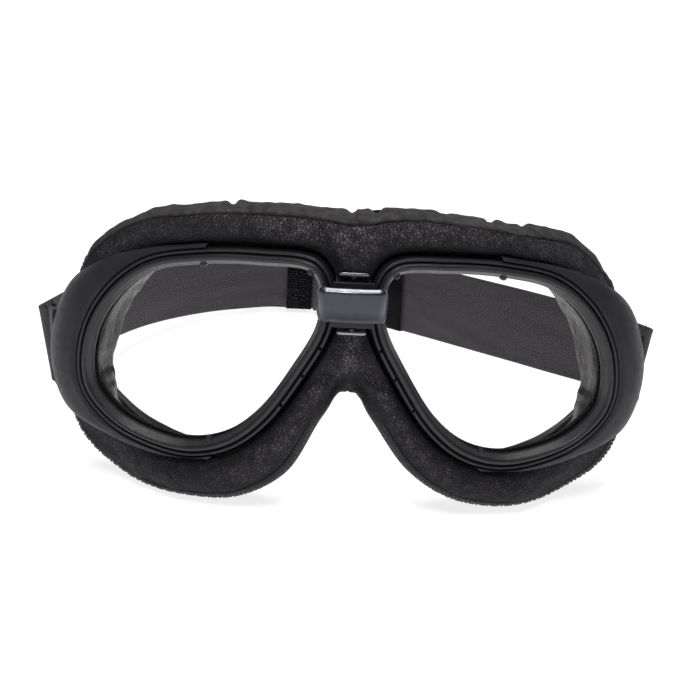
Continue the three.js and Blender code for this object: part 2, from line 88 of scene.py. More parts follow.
# the sleeve's lip, out of the opening, for each point of OPENING
SLEEVE_LIP = (0.4, 0.4, 0.4, -0.5, -2.6, -3.4, -1.4, 3.2, 1.8, 0.8, 0.4, 0.0, -0.3, 0.0, 0.3)
LENS_OVERLAP, LENS_THICKNESS, LENS_DEPTH = 1.4, 1.8, 2.1
CASING_DEPTH = 7.4
PAD_INNER = RIM[1] + 1.1  # where the mask starts, outside the opening
TEMPLE_DEPTH = 4.5  # how much deeper the mask is at the temples
FOLD_ROOM = (2.9, 0.19)  # half width of the free V at the hinge, and its growth with depth
CLIP_LOW, CLIP_HIGH = -2.9, 6.6
CLIP_SHIFT = 0.3  # the clip sits to the left by its play on the hinges
STRAP_WIDTH, STRAP_LOW, STRAP_THICKNESS = 26, -40, 1.4
SLOT_BAR = np.array([100.5, 20.3])
PLATE_ALONG = np.array([0.47, 0.883])
PLATE_NECK = -5.4  # where the plate starts to narrow, before its slot
WRAP_RADIUS = 2.6
FLAP_LENGTH = 21
BACK_RUN = {"left": 160.6, "right": 157.6}
BACK_END = {"left": 4, "right": -12}
BACK_CORNER = 14
DIAGONAL = math.radians(135.4)  # the way the right half runs towards the back
LEFT_RUN = [(-87.5, 76), (-79.5, 107), (-67, 130.5), (-51, 147.6), (-38, 156), (-28, BACK_RUN["left"])]
RIGHT_RUN = [(85.5, 62), (73.4, 79), (62.6, 91.5), (51, 103.2), (43, 111.2)]
SLIDER_LENGTH, SLIDER_WALL, SLIDER_RAIL = 9.5, 0.9, 0.15
STRAP_CANT = {"left": math.radians(9.5), "right": math.radians(8.5)}  # the strap's ends lean out at the top
STRAP_IN = {"left": 1.1, "right": 2.5}  # towards the middle
STRAP_LIFT = {"left": 0.5, "right": 1.8}
STRAP_DRAWN = 0.92  # of its width, in the slot
SLIDER_AT = {"left": -17.5, "right": 21.5}
STITCH_PITCH = 1.15
CORD_PITCH, PICK_PITCH = 0.55, 0.45

# ---- Frames ----


def lean(points):
    x, y, z = np.moveaxis(np.asarray(points, float), -1, 0)
    c, s = math.cos(LEAN), math.sin(LEAN)
    return np.stack([x, y * c + z * s, z * c - y * s], -1)


fold_axis = next(j for j in frame["joints"] if j["name"] == "fold_right")["pos_m"]
ORIGIN = np.array(fold_axis) / MM - lean(HINGE)


def place(points):
    """Points of the goggles' frame, in millimetres, as points of the row frame, in metres."""
    return (lean(points) + ORIGIN) * MM


def splayed(points):
    """Points of a lens frame's own plane (out, back, up) in the goggles' frame, on the right side."""
    u, d, w = np.moveaxis(np.asarray(points, float), -1, 0)
    c, s = math.cos(SPLAY), math.sin(SPLAY)
    return np.stack([u * c - d * s, u * s + d * c, w], -1)


# ---- Curves ----


def catmull(points, t, closed=False):
    """Centripetal Catmull-Rom curve through the points, at the shares t of its length in points."""
    p = np.asarray(points, float)
    n = len(p)
    spans = n if closed else n - 1
    if closed:
        p = np.concatenate([p[-1:], p, p[:2]])
        t = np.mod(t, 1)
    else:
        p = np.concatenate([2 * p[:1] - p[1:2], p, 2 * p[-1:] - p[-2:-1]])
    at = np.asarray(t, float) * spans
    i = np.clip(at.astype(int), 0, spans - 1)
    f = (at - i)[..., None]
    a, b, c, d = p[i], p[i + 1], p[i + 2], p[i + 3]
    k0, k1, k2 = (np.sqrt(np.linalg.norm(q - r, axis=-1, keepdims=True)) for q, r in ((b, a), (c, b), (d, c)))
    m1 = ((b - a) / k0 - (c - a) / (k0 + k1) + (c - b) / k1) * k1
    m2 = ((c - b) / k1 - (d - b) / (k1 + k2) + (d - c) / k2) * k1
    f2, f3 = f * f, f * f * f
    return (2 * f3 - 3 * f2 + 1) * b + (f3 - 2 * f2 + f) * m1 + (3 * f2 - 2 * f3) * c + (f3 - f2) * m2


def refine(controls, rows, closed=False):
    """Smooths every section of controls, shaped (columns, points, 3), to this many rows."""
    c = np.asarray(controls, float)
    n = c.shape[1]
    if closed:
        c = np.concatenate([c[:, -1:], c, c[:, :2]], 1)
        at = np.arange(rows) / rows * n
        spans = n
    else:
        c = np.concatenate([2 * c[:, :1] - c[:, 1:2], c, 2 * c[:, -1:] - c[:, -2:-1]], 1)
        spans = n - 1
        at = np.linspace(0, 1, rows) * spans
    i = np.clip(at.astype(int), 0, spans - 1)
    f = (at - i)[None, :, None]
    p0, p1, p2, p3 = c[:, i], c[:, i + 1], c[:, i + 2], c[:, i + 3]
    return 0.5 * (
        2 * p1 + (p2 - p0) * f + (2 * p0 - 5 * p1 + 4 * p2 - p3) * f**2 + (3 * p1 - p0 - 3 * p2 + p3) * f**3
    )


def evenly(points, closed, count, fine=2000):
    """Shares t that split the curve into stretches of equal length."""
    t = np.linspace(0, 1, fine + 1)
    p = catmull(points, t * (1 - 1e-9), closed)
    length = run_length(p)
    marks = np.arange(count) / count if closed else np.linspace(0, 1, count)
    return np.interp(marks * length[-1], length, t)


def unit(vectors):
    return vectors / np.maximum(np.linalg.norm(vectors, axis=-1, keepdims=True), 1e-9)


def run_length(line):
    """Length of a line of points from its start to each of them."""
    return np.concatenate([[0], np.cumsum(np.linalg.norm(np.diff(line, axis=0), axis=1))])


def points_at(marks, length, line):
    """Points of a line where its length, or its index, has these values."""
    return np.stack([np.interp(marks, length, part) for part in line.T], -1)


def turns_of(count):
    """Evenly spaced angles of one full turn."""
    return np.arange(count) / count * 2 * math.pi


def circle(radius, level, count, facing=False):
    """Points round the Z axis at a height, or round the Y axis at a depth if it faces the front."""
    turns = turns_of(count)
    x, y, z = np.cos(turns) * radius, np.sin(turns) * radius, np.full(count, float(level))
    return np.stack([x, z, y] if facing else [x, y, z], -1)


def smoothstep(x, low, high):
    t = np.clip((np.asarray(x, float) - low) / (high - low), 0, 1)
    return t * t * (3 - 2 * t)


def hump(x, width):
    """1 at zero, falling off smoothly over this width."""
    return np.exp(-((x / width) ** 2))


def rim(t, distance, depth):
    """Points at a distance outside the lens opening and a depth behind the bezel's plane."""
    p = catmull(OPENING, t, True)
    along = unit(catmull(OPENING, t + 1e-4, True) - catmull(OPENING, t - 1e-4, True))
    depth = np.broadcast_to(np.asarray(depth, float), p.shape[:-1])
    return np.stack([p[..., 0] - along[..., 1] * distance, depth, p[..., 1] + along[..., 0] * distance], -1)


def temple_share(u):
    return smoothstep(u, 50, 78)


def mask_point(side, t, share, depth, temple):
    """A share of the way from the rim to the edge of the mask, at a depth, and deeper at the temple."""
    inner = rim(t, PAD_INNER, 0)
    edge = catmull(MASK_EDGE[side], t, True)
    outer = np.stack([edge[..., 0], np.zeros(len(edge)), edge[..., 1]], -1)
    p = inner + (outer - inner) * share
    p[..., 1] = depth + temple * temple_share(p[..., 0])
    return p


# ---- Meshes ----


def grid_faces(columns, rows, wrap_columns, wrap_rows):
    i, j = np.meshgrid(
        np.arange(columns if wrap_columns else columns - 1),
        np.arange(rows if wrap_rows else rows - 1),
        indexing="ij",
    )
    k, m = (i + 1) % columns, (j + 1) % rows
    return np.stack([i * rows + j, k * rows + j, k * rows + m, i * rows + m], -1).reshape(-1, 4)


def make(name, points, faces, look, sharp=50, side=1):
    """A mesh piece from points in the goggles' frame, mirrored to the left where side is -1."""
    points = np.array(points, float).reshape(-1, 3)
    points[:, 0] *= side
    mesh = bpy.data.meshes.new(name)
    mesh.from_pydata(place(points).tolist(), [], [list(map(int, f)) for f in faces])
    bm = bmesh.new()
    bm.from_mesh(mesh)
    bmesh.ops.remove_doubles(bm, verts=bm.verts, dist=2e-6)
    bmesh.ops.recalc_face_normals(bm, faces=bm.faces)
    bm.to_mesh(mesh)
    bm.free()
    mesh.shade_smooth()
    mesh.set_sharp_from_angle(angle=math.radians(sharp))
    mesh.materials.append(look)
    piece = bpy.data.objects.new(name, mesh)
    bpy.context.scene.collection.objects.link(piece)
    return piece


def join(name, pieces):
    """Joins pieces into the first of them, keeping each one's materials."""
    with bpy.context.temp_override(active_object=pieces[0], selected_editable_objects=pieces):
        bpy.ops.object.join()
    pieces[0].name = name
    return pieces[0]


def loft_faces(columns, rows, closed_columns=False):
    """Faces of a loft whose sections are closed loops, with flat ends where it isn't a ring."""
    faces = grid_faces(columns, rows, closed_columns, True).tolist()
    if not closed_columns:
        faces += [list(range(rows))[::-1], [(columns - 1) * rows + j for j in range(rows)]]
    return faces


def tubes(paths, normals, radii, sides=6):
    """Points and faces of a tube along each path, shaped (count, steps, 3)."""
    count, steps, _ = paths.shape
    along = unit(np.gradient(paths, axis=1))
    across = unit(np.cross(along, normals))
    up = np.cross(across, along)
    angle = turns_of(sides)
    offset = across[:, :, None] * np.cos(angle)[:, None] + up[:, :, None] * np.sin(angle)[:, None]
    points = paths[:, :, None] + offset * np.asarray(radii)[None, :, None, None]
    one = np.array(grid_faces(steps, sides, False, True))
    caps = [list(range(sides))[::-1], [(steps - 1) * sides + j for j in range(sides)]]
    faces = []
    for k in range(count):
        base = k * steps * sides
        faces += (one + base).tolist() + [[base + v for v in cap] for cap in caps]
    return points.reshape(-1, 3), faces


def ring_grid(section, columns, rows):
    """A ring round the opening from a closed section of (distance, depth) or (distance, depth, temple)."""
    t = evenly(OPENING, True, columns)
    controls = []
    for distance, depth, *temple in section:
        p = rim(t, distance, depth)
        if temple:
            p[:, 1] += temple[0] * temple_share(p[:, 0])
        controls.append(p)
    return splayed(refine(np.stack(controls, 1), rows, True))


def keep_fold_room(points):
    """Flattens what would stand in the V that the fold needs on the nose side."""
    start, slope = FOLD_ROOM
    points[..., 0] = np.maximum(points[..., 0], start + slope * (points[..., 1] - HINGE[1]))
    return points


# ---- Materials ----


class Nodes:
    """A material whose Principled shader is fed by short chains of nodes."""

    def __init__(self, name, color, roughness, **sockets):
        self.material = bpy.data.materials.new(name)
        self.material.use_nodes = True
        self.tree = self.material.node_tree
        self.shader = self.tree.nodes["Principled BSDF"]
        self.set(self.shader, {"Base Color": (*color, 1), "Roughness": roughness})
        self.set(self.shader, {k.replace("_", " "): v for k, v in sockets.items()})
        self.heights = []

    @staticmethod
    def set(node, values):
        for socket, value in values.items():
            node.inputs[socket].default_value = value

    def node(self, kind, values=None, **properties):
        made = self.tree.nodes.new(kind)
        for key, value in properties.items():
            setattr(made, key, value)
        self.set(made, values or {})
        return made

    def link(self, out, socket):
        self.tree.links.new(out, socket)

    def coordinates(self, scale=(1, 1, 1), uv=False):
        source = self.node("ShaderNodeTexCoord").outputs["UV" if uv else "Object"]
        mapping = self.node("ShaderNodeMapping", {"Scale": scale})
        self.link(source, mapping.inputs["Vector"])
        return mapping.outputs["Vector"]

    def axes(self, uv=False):
        parts = self.node("ShaderNodeSeparateXYZ")
        self.link(self.coordinates(uv=uv), parts.inputs["Vector"])
        return parts.outputs

    def noise(self, size, detail=3, vector=None):
        """Noise whose bumps are about this many millimetres across."""
        values = {"Scale": 1 / (size * MM), "Detail": detail, "Roughness": 0.5}
        made = self.node("ShaderNodeTexNoise", values)
        self.link(vector or self.coordinates(), made.inputs["Vector"])
        return made.outputs["Fac"]

    def cells(self, size, feature="DISTANCE_TO_EDGE", vector=None):
        made = self.node("ShaderNodeTexVoronoi", {"Scale": 1 / (size * MM)}, feature=feature)
        self.link(vector or self.coordinates(), made.inputs["Vector"])
        return made.outputs["Distance"]

    def math(self, operation, a, b):
        made = self.node("ShaderNodeMath", operation=operation)
        for value, socket in ((a, made.inputs[0]), (b, made.inputs[1])):
            if isinstance(value, (int, float)):
                socket.default_value = value
            else:
                self.link(value, socket)
        return made.outputs["Value"]

    def ramp(self, fac, low, high, start=0.0, end=1.0):
        """Maps fac from start..end to low..high, numbers or colours."""
        if isinstance(low, (int, float)):
            made = self.node(
                "ShaderNodeMapRange", {"From Min": start, "From Max": end, "To Min": low, "To Max": high}
            )
            self.link(fac, made.inputs["Value"])
            return made.outputs["Result"]
        made = self.node("ShaderNodeValToRGB")
        made.color_ramp.elements[0].position, made.color_ramp.elements[1].position = start, end
        made.color_ramp.elements[0].color, made.color_ramp.elements[1].color = (*low, 1), (*high, 1)
        self.link(fac, made.inputs["Fac"])
        return made.outputs["Color"]

    def patchy(self, size, detail, low, high, start=0.3, end=0.7):
        """Numbers or colours from low to high, in noise of this size."""
        return self.ramp(self.noise(size, detail), low, high, start, end)

    def feed(self, socket, value):
        self.link(value, self.shader.inputs[socket])

    def bump(self, height, distance, strength=1.0):
        """Adds a bump of this height in millimetres on top of those made before."""
        made = self.node("ShaderNodeBump", {"Distance": distance * MM, "Strength": strength})
        self.link(height, made.inputs["Height"])
        if self.heights:
            self.link(self.heights[-1], made.inputs["Normal"])
        self.heights.append(made.outputs["Normal"])
        self.link(made.outputs["Normal"], self.shader.inputs["Normal"])


def scaled(color, factor):
    return tuple(factor * c for c in color)


def mixed(n, fac, a, b):
    made = n.node("ShaderNodeMix", data_type="RGBA")
    n.link(fac, made.inputs[0])
    for value, socket in ((a, made.inputs[6]), (b, made.inputs[7])):
        if isinstance(value, tuple):
            socket.default_value = (*value, 1)
        else:
            n.link(value, socket)
    return made.outputs[2]


def worn_edges(n, color, lighter, strength=0.5):
    """Colour that is lighter along rubbed convex edges, broken up by noise."""
    point = n.node("ShaderNodeNewGeometry").outputs["Pointiness"]
    patches = n.patchy(1.6, 4, 0.0, 1.0, 0.42, 0.7)
    lightened = n.math("MULTIPLY", n.ramp(point, 0.0, 1.0, 0.53, 0.62), patches)
    return mixed(n, n.math("MULTIPLY", lightened, strength), color, lighter)


def moulded_plastic(name, color, roughness, lighter, specular=0.4):
    n = Nodes(name, color, roughness, Specular_IOR_Level=specular)
    cloudy = n.noise(9, 4)
    base = n.ramp(cloudy, scaled(color, 0.86), scaled(color, 1.14), 0.3, 0.7)
    n.feed("Base Color", worn_edges(n, base, lighter))
    n.feed("Roughness", n.patchy(2.2, 5, roughness - 0.06, roughness + 0.1))
    n.bump(n.noise(0.35, 2), 0.012)
    n.bump(n.noise(4, 2), 0.03)
    return n.material


def leather_look():
    """Pebbled black leather: on its crests a painted highlight of grey glints on the pebbles, where it is
    also polished (less rough); dull black in its hollows.
    """
    n = Nodes(
        "grained_leather", (0.005, 0.0045, 0.0055), 0.6,
        Specular_IOR_Level=0.42, Specular_Tint=(0.97, 0.91, 1.0, 1),
    )
    lightened = n.node("ShaderNodeAttribute", attribute_name="lightened").outputs["Fac"]
    pebbles = n.cells(0.95)
    crests = n.ramp(pebbles, 0.0, 1.0, 0.02, 0.26)
    unhighlighted_tone = n.patchy(6, 4, (0.0012, 0.001, 0.0013), (0.004, 0.0036, 0.0045), 0.3, 0.72)
    patches = n.patchy(2.2, 4, 0.2, 1.0, 0.38, 0.62)
    lighter = n.math("MULTIPLY", lightened, patches)
    # painted highlight: pale grey glints on the pebble tops wherever the crests are marked lighter
    painted_pebble_glints = mixed(n, crests, (0.007, 0.0064, 0.0078), (0.155, 0.147, 0.16))
    n.feed("Base Color", mixed(n, lighter, unhighlighted_tone, painted_pebble_glints))
    shine = n.math("MULTIPLY", lighter, n.ramp(pebbles, 0.22, 0.42, 0.0, 0.3))
    n.feed("Roughness", n.math("SUBTRACT", n.patchy(1.5, 3, 0.66, 0.82), shine))
    n.bump(crests, 0.34)
    n.bump(n.ramp(n.cells(0.5), 0.0, 1.0, 0.0, 0.25), 0.06)
    n.bump(n.noise(3.2, 3), 0.15)
    return n.material


def cloth_look(name, color, sheen):
    """Soft cloth: a fine cross weave under a nap of loose fibres."""
    n = Nodes(name, color, 0.92, Sheen_Weight=sheen, Sheen_Roughness=0.45, Specular_IOR_Level=0.2)
    n.feed("Base Color", n.patchy(2.4, 5, scaled(color, 0.7), scaled(color, 1.35)))
    n.bump(n.noise(0.32, 3), 0.05)
    n.bump(n.noise(1.3, 3), 0.06)
    return n.material


def binding_look():
    """Matt suede of the wrinkled strip, paler in the middle and darker towards the temples."""
    n = Nodes(
        "soft_binding", (0.03, 0.028, 0.03), 0.85,
        Sheen_Weight=0.1, Sheen_Roughness=0.5, Specular_IOR_Level=0.25,
    )
    outwards = n.math("ABSOLUTE", n.axes()["X"], 0)
    pale = n.ramp(outwards, 1.0, 0.25, 0.045, 0.075)
    mottled = n.patchy(2.6, 5, (0.025, 0.0228, 0.0245), (0.074, 0.069, 0.0715), 0.3, 0.72)
    n.feed("Base Color", mixed(n, pale, (0.008, 0.0075, 0.0085), mottled))
    n.bump(n.noise(0.5, 3), 0.07)
    n.bump(n.noise(1.6, 3, n.coordinates((1, 1, 0.5))), 0.15)
    return n.material


def webbing_look():
    """Woven elastic: fine lengthwise cords crossed by picks, in the strap's own length and height."""
    n = Nodes(
        "woven_elastic", (0.04, 0.036, 0.042), 0.62,
        Sheen_Weight=0.03, Sheen_Roughness=0.5, Specular_IOR_Level=0.3,
    )
    axes = n.axes(uv=True)
    length, height = axes["X"], axes["Y"]
    cords = n.math("ABSOLUTE", n.math("SINE", n.math("MULTIPLY", height, math.pi / CORD_PITCH), 0), 0)
    odd = n.math("MODULO", n.math("FLOOR", n.math("DIVIDE", height, CORD_PITCH), 0), 2)
    pick = n.math("MULTIPLY", length, math.pi / PICK_PITCH)
    shifted = n.math("ADD", pick, n.math("MULTIPLY", odd, math.pi / 2))
    picks = n.math("ABSOLUTE", n.math("SINE", shifted, 0), 0)
    crossed = n.math("ADD", n.math("MULTIPLY", picks, 0.35), 0.65)
    weave = n.math("MULTIPLY", n.math("POWER", cords, 0.5), crossed)
    fuzz = n.noise(0.4, 4)
    streaks = n.noise(4, 3, n.coordinates((0.1, 0.1, 1)))
    tone = n.ramp(streaks, (0.05, 0.0445, 0.052), (0.07, 0.063, 0.073), 0.35, 0.68)
    n.feed("Base Color", mixed(n, n.ramp(weave, 0.25, 1.0, 0.0, 0.8), (0.036, 0.032, 0.0375), tone))
    n.feed("Roughness", n.ramp(fuzz, 0.55, 0.78, 0.3, 0.7))
    n.bump(weave, 0.05)
    n.bump(fuzz, 0.03)
    n.bump(n.noise(7, 2, n.coordinates((1, 1, 0.3))), 0.3)
    return n.material


def thread_look(name, color):
    n = Nodes(name, color, 0.7, Sheen_Weight=0.08, Specular_IOR_Level=0.3)
    n.feed("Base Color", n.patchy(0.8, 3, scaled(color, 0.6), scaled(color, 1.5)))
    n.bump(n.noise(0.18, 2), 0.05)
    return n.material


def steel_look():
    """Bright steel with a fine grain along X, faint scratches and rubbed edges."""
    color, roughness = (0.33, 0.33, 0.345), 0.3
    n = Nodes("bright_steel", color, roughness, Metallic=1.0)
    grain = n.noise(0.25, 3, n.coordinates((0.06, 1, 1)))
    base = n.ramp(grain, scaled(color, 0.94), scaled(color, 1.06), 0.35, 0.65)
    n.feed("Base Color", worn_edges(n, base, (0.5, 0.5, 0.52), 0.3))
    n.feed("Roughness", n.patchy(2.5, 3, roughness - 0.04, roughness + 0.08))
    n.bump(grain, 0.006)
    return n.material


def clip_look():
    """Gunmetal under a faint grain, with a painted highlight along its upper edge and painted shade darkening
    it towards the lower one.
    """
    n = Nodes("gunmetal", (0.13, 0.137, 0.155), 0.3, Metallic=1.0)
    height = n.node("ShaderNodeAttribute", attribute_name="height").outputs["Fac"]
    grain = n.noise(0.25, 3, n.coordinates((0.06, 1, 1)))
    uneven = n.math("ADD", height, n.patchy(3, 4, -0.02, 0.02))
    # painted shade: the body darkens towards its lower edge
    unhighlighted_tone = n.ramp(uneven, (0.058, 0.056, 0.07), (0.128, 0.136, 0.155), 0.05, 0.36)
    body = mixed(n, n.ramp(grain, 0.0, 0.16, 0.35, 0.65), unhighlighted_tone, (0.2, 0.205, 0.22))
    # painted highlight: a pale band along the top edge
    n.feed("Base Color", mixed(n, n.ramp(uneven, 0.0, 1.0, 0.88, 0.96), body, (0.25, 0.268, 0.28)))
    n.feed("Roughness", n.patchy(2.5, 3, 0.26, 0.38))
    n.bump(grain, 0.001)
    return n.material


def lens_look():
    """Clear moulded lens: seen through square on, glossier at a slant, with a trace of dust."""
    n = Nodes("clear_lens", (0.004, 0.004, 0.004), 0.04, Specular_IOR_Level=0.7)
    slant = n.node("ShaderNodeLayerWeight", {"Blend": 0.2}).outputs["Facing"]
    dust = n.patchy(2.5, 5, 0.0, 0.02, 0.6, 0.85)
    n.feed("Alpha", n.math("ADD", n.ramp(slant, 0.03, 0.35, 0.1, 1.0), dust))
    n.feed("Base Color", n.ramp(dust, (0.004, 0.004, 0.004), (0.03, 0.03, 0.03), 0.0, 0.02))
    n.feed("Roughness", n.patchy(6, 3, 0.03, 0.06, 0.35, 0.7))
    n.bump(n.noise(25, 1), 0.04)
    return n.material


def eyecup_look():
    """Smooth rubber with drawn-out moulding streaks and a dull bloom."""
    n = Nodes("eyecup_rubber", (0.03, 0.028, 0.027), 0.3, Specular_IOR_Level=0.55)
    streaks = n.noise(2.2, 4, n.coordinates((1, 1, 0.16)))
    n.feed("Base Color", n.ramp(streaks, (0.016, 0.015, 0.0145), (0.085, 0.075, 0.068), 0.4, 0.68))
    n.feed("Roughness", n.patchy(1.8, 5, 0.2, 0.42))
    n.bump(streaks, 0.5)
    n.bump(n.noise(0.3, 2), 0.01)
    return n.material


def floor_look():
    """White sweep, washed out by light from below as well as above."""
    n = Nodes("pale_floor", (0.6, 0.6, 0.6), 0.8, Emission_Color=(1, 1, 1, 1), Emission_Strength=0.81)
    n.feed("Base Color", n.patchy(180, 2, (0.59, 0.59, 0.59), (0.61, 0.61, 0.61)))
    return n.material


PLASTIC = moulded_plastic("rim_plastic", (0.023, 0.0215, 0.026), 0.36, (0.07, 0.066, 0.075))
# paler plastic for the bezel's inner bevel: a painted highlight
BEVEL_HIGHLIGHT_PLASTIC = moulded_plastic("polished_bevel_painted_highlight", (0.06, 0.056, 0.06), 0.3, (0.1, 0.1, 0.105), 0.5)
WING_PLASTIC = moulded_plastic("wing_plastic", (0.026, 0.0242, 0.029), 0.5, (0.07, 0.066, 0.075), 0.22)
SLIDER_PLASTIC = moulded_plastic("slider_plastic", (0.003, 0.0027, 0.0036), 0.5, (0.01, 0.01, 0.011), 0.05)
LEATHER = leather_look()
BINDING = binding_look()
LINING = cloth_look("brushed_lining", (0.012, 0.0115, 0.0125), 0.3)
THREAD = thread_look("overcast_thread", (0.034, 0.032, 0.038))
SEAM_THREAD = thread_look("seam_thread", (0.006, 0.0055, 0.0065))
STRAP_THREAD = thread_look("strap_thread", (0.02, 0.018, 0.022))
WEBBING = webbing_look()
GASKET = moulded_plastic("gasket_rubber", (0.012, 0.0115, 0.0115), 0.5, (0.03, 0.03, 0.03))
EYECUP = eyecup_look()
LENS = lens_look()
GUNMETAL = clip_look()
STEEL = steel_look()


# ---- Hard pieces of one lens frame ----

SIDES = {"left": -1, "right": 1}
BEVEL_ROWS = range(9, 15)  # the rows of the bezel that are its polished bevel, painted paler as a highlight
CATCHES = (1.95, 9.55, 0.02)  # in points of OPENING
CATCH_SECTION = ((0.5, 0.05), (0.85, 0.12), (1.05, 0.4), (1.1, 0.8), (1.1, 1.8), (0.2, 1.8))  # radius, depth
VENTS, VENT_RADIUS, VENT_DEPTH = (12.62, 12.0, 11.42), 0.55, 1.6
KNUCKLE_REACH = 3.7  # up and down from the clip's middle
CLIP_MIDDLE, CLIP_HALF = (CLIP_LOW + CLIP_HIGH) / 2, (CLIP_HIGH - CLIP_LOW) / 2
STRAP_MIDDLE = STRAP_LOW + STRAP_WIDTH / 2


def finish_piece(piece, body, node):
    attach(piece, body)
    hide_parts(node)


def ring_piece(name, section, columns, rows, look, side, sharp=60):
    grid = keep_fold_room(ring_grid(section, columns, rows))
    return make(name, grid, grid_faces(columns, rows, True, True), look, sharp, SIDES[side])


def disc(name, at, distance, section, count, sharp, side):
    """A round piece that faces the front, beside a point of the opening, from its (radius, depth) section."""
    middle = rim(np.array([at / len(OPENING)]), distance, 0)[0]
    loops = splayed([circle(radius, depth, count, True) + middle for radius, depth in section])
    return make(name, loops, loft_faces(len(section), count), PLASTIC, sharp, SIDES[side])


def bezel(side):
    """Ring over the lens's edge, with a polished bevel painted paler as a highlight, and three small catches
    on its inner edge.
    """
    back = LENS_DEPTH - 0.3
    section = [
        (-0.5, back), (-0.52, 1.3), (-0.45, 0.95), (-0.3, 0.7), (0.3, -0.2), (0.8, -0.95), (0.95, -1.12),
        (1.25, -1.36), (1.75, -1.46), (2.25, -1.28), (2.62, -0.75), (2.8, -0.1), (2.82, 1.0), (2.78, back),
        (1.2, back + 0.05),
    ]
    rows = 45
    ring = ring_piece("bezel", section, 360, rows, PLASTIC, side)
    ring.data.materials.append(BEVEL_HIGHLIGHT_PLASTIC)
    # the bevel rows take the paler plastic as a painted highlight
    for face in ring.data.polygons:
        face.material_index = int(face.index % rows in BEVEL_ROWS)
    catches = [disc("catch", at, -0.2, CATCH_SECTION, 24, 45, side) for at in CATCHES]
    finish_piece(join(f"rim_bezel_{side}", [ring, *catches]), f"{side}_frame", f"bezel_{side}")


def hinge_part(name, section, count, look, sharp, side, hollow=False):
    """A round part of the hinge, from its (radius, height) section."""
    loops = np.array([circle(radius, CLIP_MIDDLE + up, count) for radius, up in section]) + (*HINGE[:2], 0)
    return make(name, loops, loft_faces(len(section), count, hollow), look, sharp, SIDES[side])


def knuckle(side):
    """Hinge tube of the casing and the arm that carries it."""
    end, eased = KNUCKLE_REACH, KNUCKLE_REACH - 0.2
    section = ((1.0, -end), (1.4, -end), (1.55, -eased), (1.55, eased), (1.4, end), (1.0, end))
    tube = hinge_part("knuckle", section, 32, PLASTIC, 45, side, True)
    corners = [(x, y, CLIP_MIDDLE + z) for x in (6.9, 8.2) for y in (-3.1, 0.4) for z in (-end, end)]
    block = [(0, 1, 3, 2), (4, 6, 7, 5), (0, 4, 5, 1), (2, 3, 7, 6), (0, 2, 6, 4), (1, 5, 7, 3)]
    return [tube, make("arm", corners, block, PLASTIC, 30, SIDES[side])]


def hinge_pin(side):
    section = ((0.3, -4.3), (0.62, -4.22), (0.8, -4.0), (0.8, 4.0), (0.62, 4.22), (0.3, 4.3))
    pin = hinge_part(f"steel_pin_{side}", section, 28, STEEL, 40, side)
    finish_piece(pin, "bridge", f"hinge_pin_{side}")


def casing(side):
    """Deep ring behind the bezel, with its front ridge, three vents and the hinge's knuckle."""
    section = [
        (3.08, -0.15), (3.2, -0.5), (3.45, -0.78), (3.75, -0.82), (4.05, -0.62), (4.2, -0.25), (4.22, 0.6),
        (4.2, 3.5), (4.2, 6.8), (4.0, 7.35), (2.2, CASING_DEPTH), (0.6, 7.3), (0.42, 6.9), (0.5, 5.85),
        (1.6, 5.7), (1.75, 4.5), (1.8, 2.3), (2.95, 2.1), (3.08, 1.2),
    ]
    ring = ring_piece("casing", section, 360, 57, PLASTIC, side)
    for at in VENTS:
        vent = disc("vent", at, 3.62, ((VENT_RADIUS, -3), (VENT_RADIUS, VENT_DEPTH)), 20, 40, side)
        cut_away(ring, vent)
    shell = join(f"lens_casing_{side}", [ring, *knuckle(side)])
    finish_piece(shell, f"{side}_frame", f"casing_{side}")


def lens(side):
    """Clear sheet with a rounded edge, whose flat faces close on a line of points."""
    t = evenly(OPENING, True, 300)
    edge = ((14, 0), (1.2, 0), (0.35, 0), (0.1, 0.08), (0, 0.3))  # in from the edge, and in from the face
    section = [(inset, LENS_DEPTH + depth) for inset, depth in edge]
    section += [(inset, LENS_DEPTH + LENS_THICKNESS - depth) for inset, depth in reversed(edge)]
    grid = splayed([rim(t, LENS_OVERLAP - inset, depth) for inset, depth in section])
    made = make(f"clear_lens_{side}", grid, loft_faces(len(section), len(t)), LENS, 30, SIDES[side])
    finish_piece(made, f"{side}_frame", f"lens_{side}")


def gasket(side):
    front = LENS_DEPTH + LENS_THICKNESS + 0.2
    section = [(-0.8, 0.5), (-0.7, 0.1), (-0.3, 0), (1.35, 0), (1.4, 1.1), (-0.5, 1.2)]
    section = [(distance, front + depth) for distance, depth in section]
    made = ring_piece(f"lens_gasket_{side}", section, 300, 24, GASKET, side)
    finish_piece(made, f"{side}_frame", f"gasket_{side}")


def lip_distance(t):
    """How far the sleeve's lip lies outside the opening, eased from point to point."""
    at = np.mod(t, 1) * len(SLEEVE_LIP)
    i = at.astype(int) % len(SLEEVE_LIP)
    low, high = np.array(SLEEVE_LIP)[i], np.roll(SLEEVE_LIP, -1)[i]
    return low + (high - low) * smoothstep(at - np.floor(at), 0, 1)


